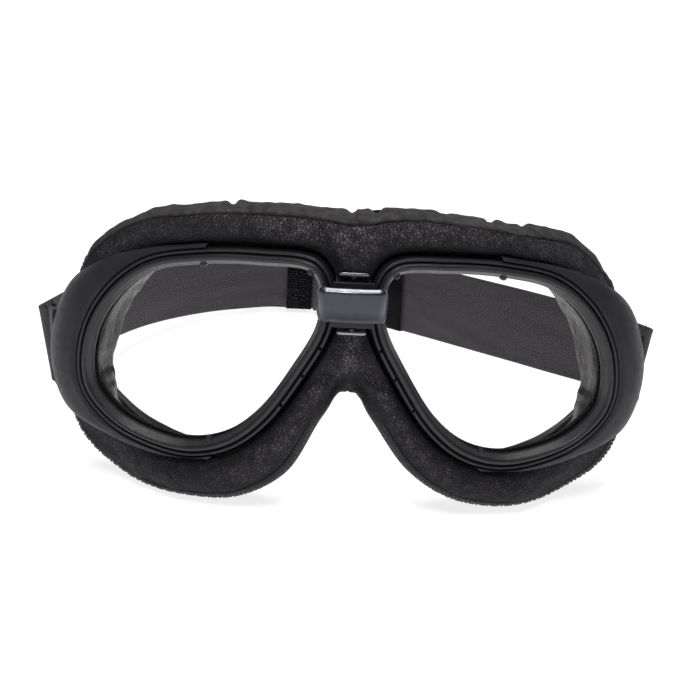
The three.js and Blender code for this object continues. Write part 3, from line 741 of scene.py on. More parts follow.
def eyecup(side):
    """Glossy sleeve behind the lens, with a rolled lip, deeper at the temple."""
    columns, rows = 330, 50
    t = evenly(OPENING, True, columns)
    share = temple_share(rim(t, 0, 0)[:, 0])
    lip = lip_distance(t)
    front = CASING_DEPTH - 1.4
    back = front + 3.1 + 4.9 * share
    half = (front + back) / 2
    start = np.minimum(lip * 0.3 + 0.3, 0.5)
    section = (
        (start, front), (start * 0.55 + lip * 0.45, half), (lip + 0.06, back - 0.7), (lip, back),
        (lip + 0.35, back + 0.4), (lip + 0.9, back + 0.35), (lip + 1.25, back - 0.2),
        (start * 0.5 + lip * 0.5 + 1.2, half), (start + 1.1, front + 1.7), (start + 0.6, front + 1.6),
    )
    grid = refine(np.stack([rim(t, *point) for point in section], 1), rows, True)
    grid[..., 0] += wrinkle(grid * (1, 0.25, 1), 3.4, 4.0) * 0.35 * share[:, None]
    grid = keep_fold_room(splayed(grid))
    made = make(f"eyecup_sleeve_{side}", grid, grid_faces(columns, rows, True, True), EYECUP, 60, SIDES[side])
    finish_piece(made, f"{side}_frame", f"eyecup_{side}")


def plate_slab(start, end, half, room, side, neck=0.0):
    """A slab along the plate's line, taller than the strap by this room.

    Its lower edge rises by neck towards the shell it grows from.
    """
    across = np.array([PLATE_ALONG[1], -PLATE_ALONG[0]])
    low, high = STRAP_LOW - room, STRAP_LOW + STRAP_WIDTH + room
    steps = np.linspace(start, end, 7)
    loops = []
    for along in steps:
        near, far = (SLOT_BAR + PLATE_ALONG * along + across * out for out in (-half, half))
        bottom = low + neck * np.clip((PLATE_NECK - along) / (PLATE_NECK - start), 0, 1) ** 0.8
        loops.append([(*near, bottom), (*far, bottom), (*far, high), (*near, high)])
    points = cant(splayed(loops), side)
    return make("slab", points, loft_faces(len(steps), 4), WING_PLASTIC, 30, SIDES[side])


def apply_modifiers(piece):
    depsgraph = bpy.context.evaluated_depsgraph_get()
    mesh = bpy.data.meshes.new_from_object(piece.evaluated_get(depsgraph))
    piece.modifiers.clear()
    old, piece.data = piece.data, mesh
    bpy.data.meshes.remove(old)
    return piece


def cut_away(piece, cutter):
    cut = piece.modifiers.new("cut", "BOOLEAN")
    cut.object, cut.operation, cut.solver = cutter, "DIFFERENCE", "EXACT"
    apply_modifiers(piece)
    bpy.data.objects.remove(cutter)


def bevelled(piece, width):
    bevel = piece.modifiers.new("bevel", "BEVEL")
    bevel.width, bevel.segments, bevel.limit_method = width * MM, 3, "ANGLE"
    bevel.angle_limit = math.radians(35)
    return apply_modifiers(piece)


def cant(points, side, hand=1):
    """Leans the end of the strap and its plate outwards at the top, as a pull does, and narrows it."""
    y, above = points[..., 1], points[..., 2] - STRAP_MIDDLE
    here = smoothstep(y, 33, 42) * smoothstep(-y, -90, -50)
    points[..., 0] += hand * here * (above * math.tan(STRAP_CANT[side]) - STRAP_IN[side])
    points[..., 2] += here * (STRAP_LIFT[side] - (1 - STRAP_DRAWN) * above)
    return points


def strap_plate(side):
    """Slotted plate at the temple, which the strap goes round."""
    plate = plate_slab(-10.7, 0.7, 0.8, 0.9, side, 8.0)
    cut_away(plate, plate_slab(-4.6, -1.0, 2.0, 0.3, side))
    return bevelled(plate, 0.35)


def wing(side):
    """Moulded shell from the rim round the temple, with a rolled free edge."""
    columns, rows = 150, 22
    share = np.linspace(0, 1, columns)
    t = (WING_TIPS[0] + (WING_TIPS[1] - WING_TIPS[0]) * share) / len(OPENING)
    inner = rim(t, RIM[1] + 0.4, -0.8)
    edge = catmull(WING_EDGE, share)
    out = (edge - inner) * (1, 0, 1)
    reach = np.linalg.norm(out, axis=1, keepdims=True)
    out /= reach
    depth = edge[:, 1:2] - inner[:, 1:2]
    f = np.linspace(0, 1, rows)[None, :]
    x = 2 * f * (1 - f) * 0.8 * reach + f * f * reach
    y = 2 * f * (1 - f) * 0.15 * depth + f * f * depth
    front = inner[:, None] + out[:, None] * x[..., None]
    front[..., 1] += y
    tangent = unit(np.gradient(np.stack([x, y], -1), axis=1))
    wall = 1.5 - 0.45 * smoothstep(f, 0.75, 1.0)[..., None]
    back = front + out[:, None] * (-tangent[..., 1:] * wall)
    back[..., 1] += tangent[..., 0] * wall[..., 0]
    # the inner edge has a small raised bead, and the free edge a round lip
    front[..., 1] -= 0.22 * hump(f - 0.06, 0.05) - 0.35 * hump(f, 0.025)
    lip = front[:, -1:] * 0.5 + back[:, -1:] * 0.5 + out[:, None] * 0.35
    root = front[:, :1] * 0.5 + back[:, :1] * 0.5 - out[:, None] * 0.12
    loop = np.concatenate([front, lip, back[:, ::-1], root], 1)
    faces = loft_faces(columns, loop.shape[1])
    shell = make("wing", splayed(loop), faces, WING_PLASTIC, 48, SIDES[side])
    made = join(f"temple_wing_{side}", [shell, strap_plate(side)])
    finish_piece(made, f"{side}_frame", f"wing_{side}")


# ---- The padded leather mask ----

MASK_COLUMNS, MASK_ROWS = 460, 78
SEAM_ROW = 0.6  # where the top seam lies, as a share of the rows of the outer surface
BAND_ROW, EDGE_ROW = 0.6, 0.84  # the overcast band of the lower edge
# sections of the mask: share of the way to its edge, depth, how much deeper at the temple
MASK_OUTSIDE = (
    (-0.03, 3.4, 2.2), (0.03, 2.1, 2.9), (0.12, 1.0, 3.9), (0.26, 0.1, 5.0), (0.44, -0.2, 6.0),
    (0.61, 0.4, 6.7), (0.75, 1.5, 7.0), (0.83, 2.6, 7.0), (0.92, 4.5, 6.8), (0.985, 7.0, 5.9),
    (1.0, 10.0, 5.0), (0.955, 12.8, TEMPLE_DEPTH), (0.87, 14.6, TEMPLE_DEPTH),
)
MASK_INSIDE = (
    (0.8, 14.4, TEMPLE_DEPTH), (0.86, 10.0, 5.2), (0.8, 6.8, 6.4), (0.6, 3.9, 6.6), (0.3, 3.4, 4.6),
    (0.14, 4.4, 3.4), (0.1, 8.4, 0),
)
LINING_BACK = (  # share, depth
    (0.84, 15.1), (0.88, 15.9), (0.8, 17.0), (0.6, 18.0), (0.35, 18.4), (0.12, 18.1), (-0.06, 17.0),
    (-0.14, 15.2),
)
LINING_EDGE = ((3.1, 12.5), (2.7, 10.6), (3.6, 10.2))  # distance from the opening, depth
LINING_FRONT = ((0.1, 12.5, 3), (0.25, 14.6, TEMPLE_DEPTH), (0.6, 14.8, TEMPLE_DEPTH))
WEB = [  # middle line of the leather between the eyes: up, back
    (-28, 7.4), (-24, 3.6), (-20, 1.4), (-15, -0.1), (-11, -0.3), (-8.8, 0.3), (-6.5, 0.9), (-2.5, 1.6),
    (3, 1.6), (7, 1.1), (9.8, 0.8), (12, 0.0), (15, -0.6), (19, -0.2), (22, 1.4), (24, 3.8),
]
CREASES = {"left": (1.6, 1.5), "right": (1.1, 2.2)}  # beside the middle of the brow: depth, width
NOTCHES = [  # pinched places of the top edge: across, depth, width
    (-66, 0.5, 2.2), (-52, 0.35, 2.5), (-36, 1.7, 1.2), (-14, 0.4, 2.6), (-1.3, 0.9, 1.1), (5.7, 1.9, 1.5),
    (25.6, 0.6, 2.0), (39.4, 1.6, 1.2), (49.2, 1.1, 1.2), (60, 0.4, 2.2), (70, 0.4, 2.2),
]


def wrinkle(points, size, seed):
    """Smooth noise from -1 to 1 at each point of a grid of any shape."""
    flat = points.reshape(-1, 3)
    values = [noise.noise(Vector(p) / size + Vector((seed, 0, 0))) for p in flat]
    return np.array(values).reshape(points.shape[:-1])


def grid_normals(grid, outward):
    """Unit normals of a grid that is closed along its columns."""
    along = np.roll(grid, -1, 0) - np.roll(grid, 1, 0)
    return unit(np.cross(along, np.gradient(grid, axis=1))) * outward


def mask_grid(side):
    """Outer surface of one half of the mask in the goggles' frame, already mirrored to its side."""
    t = evenly(MASK_EDGE[side], True, MASK_COLUMNS)
    controls = [rim(t, 4.5, 6.5)] + [mask_point(side, t, *point) for point in MASK_OUTSIDE]
    grid = splayed(refine(np.stack(controls, 1), MASK_ROWS))
    row = np.linspace(0, 1, MASK_ROWS)[None, :]
    x, y, z = grid[..., 0], grid[..., 1], grid[..., 2]
    middle = smoothstep(-x, -11.5, -1.0)
    web = np.interp(z, *np.array(WEB).T)
    # a crest down the nose and a pillow between the brows stand out of the middle
    nose = smoothstep(-z, 6, 10) * smoothstep(z, -27, -22)
    web = web + nose * (2.3 * (1 - hump(x, 3.2)) - 0.5) - 0.9 * hump(z - 15, 5) * hump(x, 5)
    middle = np.maximum(middle, smoothstep(-x, -15, -7) * nose)
    y += (web - y) * middle * smoothstep(-row, -0.8, -0.62)
    # the nose arch is round, not pointed
    z += 2.5 * hump(x - 3.0, 2.2) * smoothstep(-z, 15, 25)
    z -= 0.3 * hump(x, 1.2) * smoothstep(-z, 19, 23)
    depth, width = CREASES[side]
    line = 8.6 - 0.52 * (18.5 - z)
    y += depth * hump(x - line, width) * smoothstep(z, 9, 13) * smoothstep(-row, -0.6, -0.45)
    grid[..., 0] = np.maximum(x, 0) * SIDES[side]
    return t, grid, row


def mask_relief(grid, row, sign):
    """Moves the smooth surface along its normals: seam, notches, wrinkles and the slack of the leather."""
    normal = grid_normals(grid, sign)
    x, z = grid[..., 0], grid[..., 2]
    top = smoothstep(z, -4, 10)
    strip = smoothstep(row, SEAM_ROW, SEAM_ROW + 0.035)
    groove, shoulder = hump(row - SEAM_ROW, 0.013), hump(row - SEAM_ROW + 0.045, 0.03)
    relief = top * (-0.85 * groove + 0.3 * shoulder + 0.35 * strip)
    relief = relief - (1 - top) * smoothstep(np.abs(x), 7, 16) * 0.6 * hump(row - BAND_ROW + 0.012, 0.014)
    for at, depth, width in NOTCHES:
        pinch = hump(x - at, width) - 0.25 * hump(x - at, 2.6 * width)
        relief = relief - depth * pinch * smoothstep(row, SEAM_ROW + 0.01, SEAM_ROW + 0.16) * top
    slack = wrinkle(grid, 10.0, 3.1) * 0.6 + wrinkle(grid, 4.6, 7.7) * 0.28
    relief = relief + slack * smoothstep(row, 0.1, 0.25) * smoothstep(-row, -0.62, -0.5)
    # shallow folds that run down from the seam, as leather drawn in by its stitches
    folds = wrinkle(grid * (1, 0.3, 0.22), 2.6, 1.9)
    relief = relief - 0.4 * np.maximum(folds, 0) * hump(row - SEAM_ROW + 0.06, 0.07) * top
    crumple = wrinkle(grid * (1, 0.5, 0.5), 4.2, 1.3) * 0.6 + wrinkle(grid, 1.8, 6.0) * 0.14
    relief = relief + crumple * smoothstep(row, SEAM_ROW + 0.03, SEAM_ROW + 0.1) * top
    shift = normal * relief[..., None]
    shift[..., 0] *= smoothstep(np.abs(x), 0, 1.5)  # the halves meet in the middle
    return grid + shift, normal


def rest_on_floor(piece):
    """Flattens a soft piece where it touches the floor."""
    for vertex in piece.data.vertices:
        vertex.co.z = max(vertex.co.z, 0.02 * MM)


def stitches(name, paths, normals, radius, taper, look, power=1, sides=6):
    """Short stitches, thickest in the middle."""
    steps = len(paths[0])
    radii = radius * np.sin(np.linspace(taper, math.pi - taper, steps)) ** power
    points, faces = tubes(np.array(paths), np.array(normals, float), radii, sides)
    return make(name, points, faces, look, 60)


def whip_stitches(grid, normal, side):
    """Overcast thread over the lower and outer edge of the mask, one short bead beside the other."""
    steps = 9
    rows = np.linspace(BAND_ROW + 0.02, EDGE_ROW, steps) * (MASK_ROWS - 1)
    j = rows.astype(int)
    fraction = (rows - j)[:, None]
    arch = 0.1 * np.sin(np.linspace(0, math.pi, steps))
    length = run_length(grid[:, round(0.7 * (MASK_ROWS - 1))])
    paths, normals = [], []
    for mark in np.arange(0, length[-1], STITCH_PITCH):
        column = np.interp(mark, length, np.arange(MASK_COLUMNS))
        jitter = noise.noise(Vector((mark * 0.61, 5.0, 0)))
        i = ((column + np.linspace(-0.25, 0.25, steps) + 0.15 * jitter) % MASK_COLUMNS).astype(int)
        p = grid[i, j] * (1 - fraction) + grid[i, np.minimum(j + 1, MASK_ROWS - 1)] * fraction
        across = np.abs(p[:, 0]).min()
        if p[:, 2].max() > 5 or across < 7:
            continue
        lift = arch + 0.03 * jitter - 0.2 - 0.3 * float(smoothstep(-across, -40, -12))
        paths.append(p + normal[i, j] * lift[:, None])
        normals.append(normal[i, j])
    piece = stitches(f"whip_stitching_{side}", paths, normals, 0.46, 0.25, THREAD, 0.7, 8)
    rest_on_floor(piece)
    return piece


def seam_stitches(grid, normal, side):
    """Fine running stitch that closes the top seam, in its groove."""
    row = round((SEAM_ROW + 0.006) * (MASK_ROWS - 1))
    line, out = grid[:, row], normal[:, row]
    length = run_length(line)
    columns = np.arange(MASK_COLUMNS)
    steps, pitch, reach = 6, 2.4, 1.7
    arch = (0.12 * np.sin(np.linspace(0, math.pi, steps)) - 0.02)[:, None]
    paths, normals = [], []
    for start in np.arange(0, length[-1] - pitch, pitch):
        c = np.interp(start + np.linspace(0, reach, steps), length, columns)
        p = points_at(c, columns, line)
        if p[:, 2].min() < 4 or np.abs(p[:, 0]).min() < 0.6:
            continue
        normals.append(out[c.astype(int)])
        paths.append(p + normals[-1] * arch)
    return stitches(f"seam_stitching_{side}", paths, normals, 0.19, 0.3, SEAM_THREAD)


def mask_half(side):
    """Leather of one half with its wrinkled strip; also gives the outer surface and its normals."""
    sign = SIDES[side]
    t, grid, row = mask_grid(side)
    grid, normal = mask_relief(grid, row, sign)
    inside = [mask_point(side, t, *point) for point in MASK_INSIDE] + [rim(t, 4.4, 9.0)]
    inner = splayed(np.stack(inside, 1))
    inner[..., 0] = np.maximum(inner[..., 0], 0.02) * sign
    loop = np.concatenate([grid, inner], 1)
    faces = grid_faces(MASK_COLUMNS, loop.shape[1], True, True)
    piece = make(f"leather_mask_{side}", loop, faces, LEATHER, 70)
    piece.data.materials.append(BINDING)
    mark_leather(piece, place(grid), painted_crest_highlights(grid, row))
    rest_on_floor(piece)
    return piece, grid, normal


def painted_crest_highlights(grid, row):
    """From 0 to 1, where the leather gets a painted highlight and is polished as by handling: along its
    crests, on the brow and down the nose.
    """
    x, z = grid[..., 0], grid[..., 2]
    out = np.abs(x)
    brow = smoothstep(row, 0.22, 0.45) * smoothstep(-row, -0.6, -0.55) * smoothstep(z, 1, 7)
    brow = brow * (0.35 + 0.6 * hump(out - 19, 15) + 0.5 * hump(x, 6))
    lobe = hump(row - 0.36, 0.13) * smoothstep(-z, 14, 26) * (0.22 + 0.35 * smoothstep(-out, -42, -22))
    crest = hump(x, 2.7) * smoothstep(-z, 4, 9) * smoothstep(z, -26, -20) * smoothstep(-row, -0.62, -0.5)
    slack = 1 + 0.5 * wrinkle(grid, 6.0, 4.4)
    return np.clip((brow + lobe + 1.3 * crest) * slack, 0, 1)


def nearest(points):
    """A tree that finds the nearest of these points."""
    tree = KDTree(len(points))
    for index, point in enumerate(points):
        tree.insert(Vector(point), index)
    tree.balance()
    return tree


def mark_leather(piece, grid, lightened):
    """Gives each vertex its painted crest highlight, and the faces above the top seam the soft binding."""
    tree = nearest(grid.reshape(-1, 3))
    crest_highlight = piece.data.attributes.new("lightened", "FLOAT", "POINT")
    places = lightened.reshape(-1)
    for vertex in piece.data.vertices:
        crest_highlight.data[vertex.index].value = places[tree.find(vertex.co)[1]]
    rows = grid.shape[1]
    seam_row = round(SEAM_ROW * (MASK_ROWS - 1))
    height = float(place([0, 0, 2.0])[2])
    for face in piece.data.polygons:
        _, index, distance = tree.find(face.center)
        if distance < 0.9 * MM and index % rows >= seam_row and face.center[2] > height:
            face.material_index = 1


def lining(side):
    """Brushed cloth over the foam on the face side."""
    columns, rows = 300, 70
    t = evenly(MASK_EDGE[side], True, columns)
    edge = [rim(t, *point) for point in LINING_EDGE]
    for points in edge:
        points[:, 1] += 3.6 * temple_share(points[:, 0])
    controls = [mask_point(side, t, *point, TEMPLE_DEPTH) for point in LINING_BACK] + edge
    controls += [mask_point(side, t, *point) for point in LINING_FRONT]
    grid = splayed(refine(np.stack(controls, 1), rows, True))
    grid = grid + grid_normals(grid, 1) * (wrinkle(grid, 7.0, 2.2) * 0.35)[..., None]
    grid[..., 0] = np.maximum(grid[..., 0], 0)
    faces = grid_faces(columns, rows, True, True)
    return make(f"soft_lining_{side}", grid, faces, LINING, 70, SIDES[side])


def blended(piece, side, slot, *nodes):
    """Bakes the piece's place into its mesh and hides the CAD parts it replaces."""
    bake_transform(piece)
    if nodes:
        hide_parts(*nodes)
    return piece


# ---- Bridge ----

CLIP_RADIUS = 2.1  # of its rolled ends, in the middle of the sheet
CLIP_ROWS = 25


def taken_back(vertex):
    """A vertex's place in the goggles' frame, in millimetres."""
    x, y, z = np.array(vertex.co) / MM - ORIGIN
    c, s = math.cos(LEAN), math.sin(LEAN)
    return x, y * c - z * s, y * s + z * c


def bridge_clip():
    """Sheet metal rolled round both hinge pins, crowned, with its edges turned back and its ends bowed."""
    x, y = HINGE[:2]
    angles = np.radians(np.linspace(40, -80, 34))
    roll = np.stack([x + CLIP_RADIUS * np.cos(angles), y + CLIP_RADIUS * np.sin(angles)], -1)
    at = np.linspace(6.4, 0, 22)
    crown = np.stack([at, y - CLIP_RADIUS - 0.4 * (1 - (at / x) ** 2)], -1)
    right = np.concatenate([roll, crown])
    line = np.concatenate([right, right[:-1][::-1] * (-1, 1)])
    length = run_length(line)
    line = points_at(np.linspace(0, length[-1], 150), length, line)
    along = unit(np.gradient(line, axis=0))
    out = np.stack([-along[:, 1], along[:, 0]], -1)
    out *= np.sign(-out[75, 1])
    up = np.sin(np.linspace(-1, 1, CLIP_ROWS) * math.pi / 2)
    # both faces follow one bowed section whose edges turn back
    turn = 0.3 - 0.12 * up - 5.4 * np.maximum(up - 0.83, 0) - 0.3 * smoothstep(-up, 0.88, 1.0)
    across = np.clip(np.abs(line[:, :1]) / 9.4, 0, 1)
    bow = 1 - 0.06 * across**2 * np.abs(up) ** 2.2 - 0.03 * across**2 * np.maximum(-up, 0)
    height = CLIP_MIDDLE + up * CLIP_HALF * (1 + 0.03 * across**6)
    sheets = []
    for depth in (0.5, -0.5):
        p = line[:, None] + out[:, None] * (depth + turn)[:, None]
        sheets.append(np.stack([p[..., 0] * bow - CLIP_SHIFT, p[..., 1], height], -1))
    grid = np.concatenate([sheets[0], sheets[1][:, ::-1]], 1)
    clip = make("centre_clip", grid, loft_faces(len(grid), 2 * CLIP_ROWS), GUNMETAL, 60)
    # height from 0 at the bottom to 1 at the top, which the gunmetal material reads to paint its highlight
    # and shade
    heights = clip.data.attributes.new("height", "FLOAT", "POINT")
    for vertex in clip.data.vertices:
        heights.data[vertex.index].value = (taken_back(vertex)[2] - CLIP_LOW) / (CLIP_HIGH - CLIP_LOW)
    finish_piece(clip, "bridge", "bridge_clip")


def backplate():
    """Flat plate behind the clip, wider above and below it, with softened edges."""
    waist, flange, front, back = 4, 5.9, -1.7, -0.7
    right = [(flange, -5.8), (flange, -4.2), (waist, -3.4), (waist, 5.5), (flange, 6.1), (flange, 7.4)]
    outline = [(-flange, -5.8), *right, *((-x, z) for x, z in right[:0:-1])]
    n = len(outline)
    points = [(x, y, z) for y in (front, back) for x, z in outline]
    plate = bevelled(make("hinge_backplate", points, loft_faces(2, n), PLASTIC, 35), 0.2)
    finish_piece(plate, "bridge", "bridge_backplate")


def staple(name, height, foot):
    """A flat wire with rounded ends across the leather, and a short stem towards the clip."""
    across = np.linspace(-4.2, 4.2, 40)
    bar = np.stack([across, 0.25 * (np.abs(across) / 4.2) ** 6 - 0.12, np.full(40, height)], -1)
    stem = np.stack([np.zeros(10), np.full(10, -0.02), np.linspace(height, foot, 10)], -1)
    deep = np.array([0.0, 1.0, 0.0])
    turn = turns_of(16)
    flat, round_out = (np.sign(part) * np.abs(part) ** 0.7 for part in (np.cos(turn), np.sin(turn)))
    wires = []
    for path, wide, tall, look in ((bar, 0.55, 0.36, STEEL), (stem, 0.6, 0.3, GUNMETAL)):
        side = np.cross(unit(np.gradient(path, axis=0)), deep)
        ends = np.sqrt(np.clip(1 - np.abs(np.linspace(-1, 1, len(path))) ** 14, 0.12, 1))[:, None, None]
        section = side[:, None] * flat[:, None] * wide + deep * round_out[:, None] * tall
        wires.append(make("wire", path[:, None] + section * ends, loft_faces(len(path), 16), look, 60))
    finish_piece(join(f"wire_{name}", wires), "bridge", name)


# ---- Strap ----


def turned(points, angle):
    """Points of the ground plane, turned about the Z axis."""
    x, y = np.moveaxis(np.asarray(points, float), -1, 0)
    c, s = math.cos(angle), math.sin(angle)
    return np.stack([x * c - y * s, x * s + y * c], -1)


def wrap(centre, heading, sign):
    """The end of the strap that goes round the bar, from the flap's end to the start of the long run."""
    along = np.array([math.cos(heading), math.sin(heading)])
    out = np.array([along[1], -along[0]]) * sign
    lay = WRAP_RADIUS - STRAP_THICKNESS - 0.4
    points = [centre + along * back + out * lay for back in (FLAP_LENGTH, 15, 10)]
    points += [centre + along * 5 - out * 0.2, centre + along * 2.5 + out * (0.3 - WRAP_RADIUS)]
    for angle in np.linspace(0, math.pi, 11):
        points.append(centre - (along * math.sin(angle) + out * math.cos(angle)) * WRAP_RADIUS)
    return points


def diagonal_point(front):
    """A point of the right half's line, this far in front of where it lies across the back."""
    x, y = RIGHT_RUN[-1]
    back = BACK_RUN["right"] - front
    return np.array([x + (back - y) / math.tan(DIAGONAL), back])


def strap_line(side):
    """Middle line of one half of the strap, seen from above."""
    sign = SIDES[side]
    run = LEFT_RUN if side == "left" else RIGHT_RUN
    bar = turned(SLOT_BAR, SPLAY) * (sign, 1)
    end = (BACK_END[side], BACK_RUN[side])
    ends = wrap(bar, math.atan2(run[0][1] - bar[1], run[0][0] - bar[0]), sign)
    start = catmull(ends, np.linspace(0, 1, 90))
    if side == "left":
        way = [ends[-1], *run, (-20, BACK_RUN[side]), end]
        return np.concatenate([start, catmull(way, evenly(way, False, 240))[1:]])
    way = [ends[-1], *run]
    tangent = BACK_CORNER * math.tan((math.pi - DIAGONAL) / 2)
    centre = diagonal_point(0) - (tangent, BACK_CORNER)
    angles = np.linspace(DIAGONAL - math.pi / 2, math.pi / 2, 19)
    turn = centre + BACK_CORNER * np.stack([np.cos(angles), np.sin(angles)], -1)
    straight, tail = np.linspace(run[-1], turn[0], 30)[1:-1], np.linspace(turn[-1], end, 22)[1:]
    return np.concatenate([start, catmull(way, evenly(way, False, 90))[1:], straight, turn, tail])


def strap(side):
    """One half of the strap: soft-edged webbing with a little slack, sewn round its bar."""
    line = strap_line(side)
    length = run_length(line)
    marks = np.linspace(0, length[-1], int(length[-1] / 0.9))
    line = points_at(marks, length, line)
    along = unit(np.gradient(line, axis=0))
    out = np.stack([along[:, 1], -along[:, 0]], -1)
    up = np.sin(np.linspace(-1, 1, 31) * math.pi / 2)
    edge = np.abs(up)
    bead = 0.12 * hump(edge - 0.94, 0.035)
    thick = STRAP_THICKNESS / 2 * (0.8 - 0.45 * smoothstep(edge, 0.985, 1.0) + bead)
    ripple = 0.00196 * np.sin(marks / 2.3 + 1.3 * np.sin(marks / 17))
    seed = 3.0 if side == "left" else 9.0
    wave = np.array([noise.noise(Vector((mark / 24, seed, 0))) for mark in marks]) * 0.04
    depth = (thick + ripple[:, None])[..., None] * out[:, None]
    heights = (STRAP_WIDTH / 2 * up + STRAP_MIDDLE + wave[:, None])[..., None]
    front, back = (np.concatenate([line[:, None] + hand * depth, heights], -1) for hand in (1, -1))
    grid = cant(np.concatenate([front, back[:, ::-1]], 1), side, SIDES[side])
    piece = make(f"elastic_strap_{side}", grid, loft_faces(*grid.shape[:2]), WEBBING, 65)
    strap_uv(piece, line, marks)
    made = join(f"elastic_strap_{side}", [piece, flap_stitches(line, out, marks, side)])
    finish_piece(made, f"{side}_strap", f"strap_{side}")


def strap_uv(piece, line, marks):
    """Texture places in millimetres: along the strap, and up it."""
    tree = nearest(np.insert(line, 2, 0, axis=1))
    uv = piece.data.uv_layers.new(name="strap")
    places = []
    for vertex in piece.data.vertices:
        x, y, z = taken_back(vertex)
        places.append((marks[tree.find((x, y, 0))[1]], z - STRAP_LOW))
    for loop in piece.data.loops:
        uv.data[loop.index].uv = places[loop.vertex_index]


def flap_stitches(line, out, marks, side):
    """Rows of thread across the sewn-back end, through both layers."""
    steps = 6
    lift = (0.56 + 0.14 * np.sin(np.linspace(0, math.pi, steps)))[:, None]
    paths, normals = [], []
    for index in np.searchsorted(marks, (6.0, 9.0)):
        for low in np.arange(STRAP_LOW + 1.6, STRAP_LOW + STRAP_WIDTH - 2.4, 2.1):
            heights = low + np.linspace(0, 1.6, steps)[:, None]
            for face in (out[index], -out[index]):
                paths.append(np.concatenate([line[index] + face * lift, heights], -1))
                normals.append([(*face, 0)] * steps)
    paths = cant(np.array(paths), side, SIDES[side])
    return stitches("strap_stitches", paths, normals, 0.2, 0.35, STRAP_THREAD)


def slider(side):
    """Flat moulded loop round the webbing, with rounded corners and a softly crowned face."""
    half, wall = SLIDER_LENGTH / 2, SLIDER_WALL
    half_y, half_z = STRAP_THICKNESS / 2 + 0.3, STRAP_WIDTH / 2 + 0.08
    angles = np.radians(np.concatenate([np.linspace(start, start + 90, 7) for start in (0, 90, 180, 270)]))
    corner_y, corner_z = np.repeat([[1, -1, -1, 1], [1, 1, -1, -1]], 7, axis=1)
    edge = (  # in from the end, growth of the loop from its opening, radius of its corners
        (0.25, 0.0, 0.3), (0, 0.3, 0.45), (0, wall - 0.35, 0.8), (0.12, wall - 0.1, 0.95), (0.4, wall, 1.0),
    )
    section = [(inset - half, grow, radius) for inset, grow, radius in edge] + [(0, wall, 1.0)]
    section += [(half - inset, grow, radius) for inset, grow, radius in reversed(edge)] + [(0, 0.0, 0.3)]
    loops = []
    for x, grow, radius in section:
        y = corner_y * (half_y + grow - radius) + np.cos(angles) * radius
        z = corner_z * (half_z + grow * SLIDER_RAIL / SLIDER_WALL - radius) + np.sin(angles) * radius
        loops.append(np.stack([np.full(len(y), x), y, STRAP_MIDDLE + z], -1))
    points = np.array(loops)
    if side == "left":
        points[..., :2] += (SLIDER_AT[side], BACK_RUN[side])
    else:
        points[..., :2] = turned(points[..., :2], DIAGONAL) + diagonal_point(SLIDER_AT[side])
    faces = loft_faces(len(section), len(angles), True)
    made = make(f"strap_slider_{side}", points, faces, SLIDER_PLASTIC, 40)
    finish_piece(made, f"{side}_slider", f"slider_{side}")


# ---- The whole object ----

for side in SIDES:
    bezel(side)
    casing(side)
    lens(side)
    gasket(side)
    eyecup(side)
    wing(side)
    mask, grid, normal = mask_half(side)
    replaced = [f"cover_{side}", f"foam_{side}"] + (["mask_web"] if side == "left" else [])
    blended(mask, side, "leather", *replaced)
    blended(whip_stitches(grid, normal, side), side, "leather")
    blended(seam_stitches(grid, normal, side), side, "leather")
    blended(lining(side), side, "lining", f"lining_{side}")
    hinge_pin(side)
    strap(side)
    slider(side)

bridge_clip()
backplate()
staple("staple_upper", 9.5, 7.8)
staple("staple_lower", -7.7, -6.2)

# ---- Floor, light and camera ----

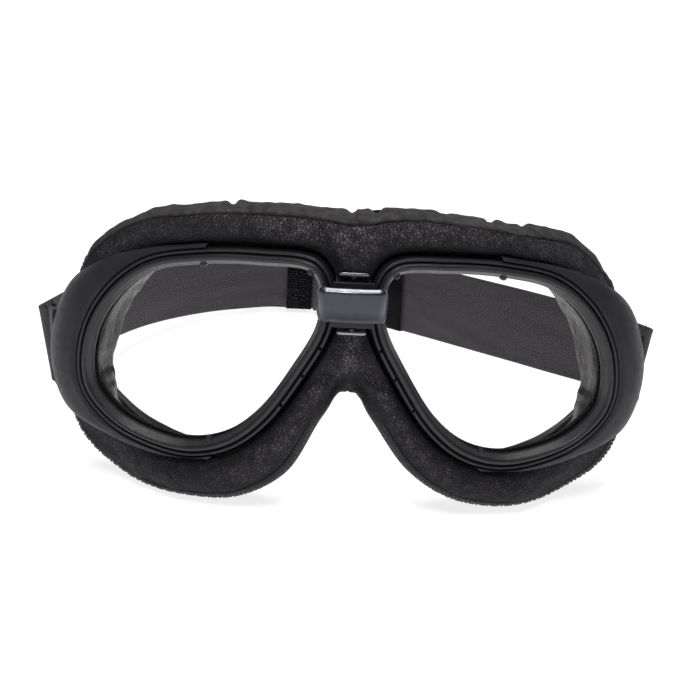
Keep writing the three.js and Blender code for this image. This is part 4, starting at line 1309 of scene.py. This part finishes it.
FLOOR_SIZE = 8
CAMERA_TURN, CAMERA_TILT, CAMERA_ROLL = math.radians(1.1), math.radians(15), math.radians(2.87)
CAMERA_DISTANCE = 486  # from the clip
AIM_LEFT, AIM_BELOW = 0.77, 12.26  # the middle of the view, from the clip, across and down the view
FOCAL_LENGTH, SENSOR = 87.7, 36
WORLD_STRENGTH = 0.08
LIGHTS = {  # position, target, size, power
    "overhead": ((0.1, 0.3, 1.3), (0, 0, 0), 0.95, 10),
    "front": ((-0.1, -0.6, 1.1), (0, 0, 0.04), 0.28, 4.8),
}


def put(name, data):
    made = bpy.data.objects.new(name, data)
    bpy.context.scene.collection.objects.link(made)
    return made


def floor():
    half = FLOOR_SIZE / 2
    mesh = bpy.data.meshes.new("floor")
    corners = [(-half, -half, 0), (half, -half, 0), (half, half, 0), (-half, half, 0)]
    mesh.from_pydata(corners, [], [(0, 1, 2, 3)])
    mesh.materials.append(floor_look())
    put("floor", mesh)


def light():
    world = bpy.data.worlds.new("studio")
    world.use_nodes = True
    background = world.node_tree.nodes["Background"].inputs
    background["Color"].default_value, background["Strength"].default_value = (1, 1, 1, 1), WORLD_STRENGTH
    bpy.context.scene.world = world
    bpy.context.scene.view_settings.view_transform = "Standard"
    for name, (position, target, size, power) in LIGHTS.items():
        data = bpy.data.lights.new(name, "AREA")
        data.shape, data.size, data.energy = "DISK", size, power
        lamp = put(name, data)
        lamp.location = position
        lamp.rotation_euler = (Vector(target) - Vector(position)).to_track_quat("-Z", "Y").to_euler()


def camera():
    """Looks at the goggles from in front and a little above, with a slight roll."""
    c, s = math.cos(CAMERA_TILT), math.sin(CAMERA_TILT)
    ahead = np.array([math.sin(CAMERA_TURN) * c, math.cos(CAMERA_TURN) * c, -s])
    right = unit(np.cross(ahead, (0, 0, 1)))
    up = np.cross(right, ahead)
    c, s = math.cos(CAMERA_ROLL), math.sin(CAMERA_ROLL)
    right, up = right * c + up * s, up * c - right * s
    position = -CAMERA_DISTANCE * ahead - AIM_LEFT * right - AIM_BELOW * up
    data = bpy.data.cameras.new("camera")
    data.lens, data.sensor_width, data.clip_start = FOCAL_LENGTH, SENSOR, 0.01
    made = put("camera", data)
    turn = Matrix(lean([right, up, -ahead]).T.tolist()).to_4x4()
    made.matrix_world = Matrix.Translation(Vector(place(position))) @ turn
    bpy.context.scene.camera = made


floor()
light()
camera()
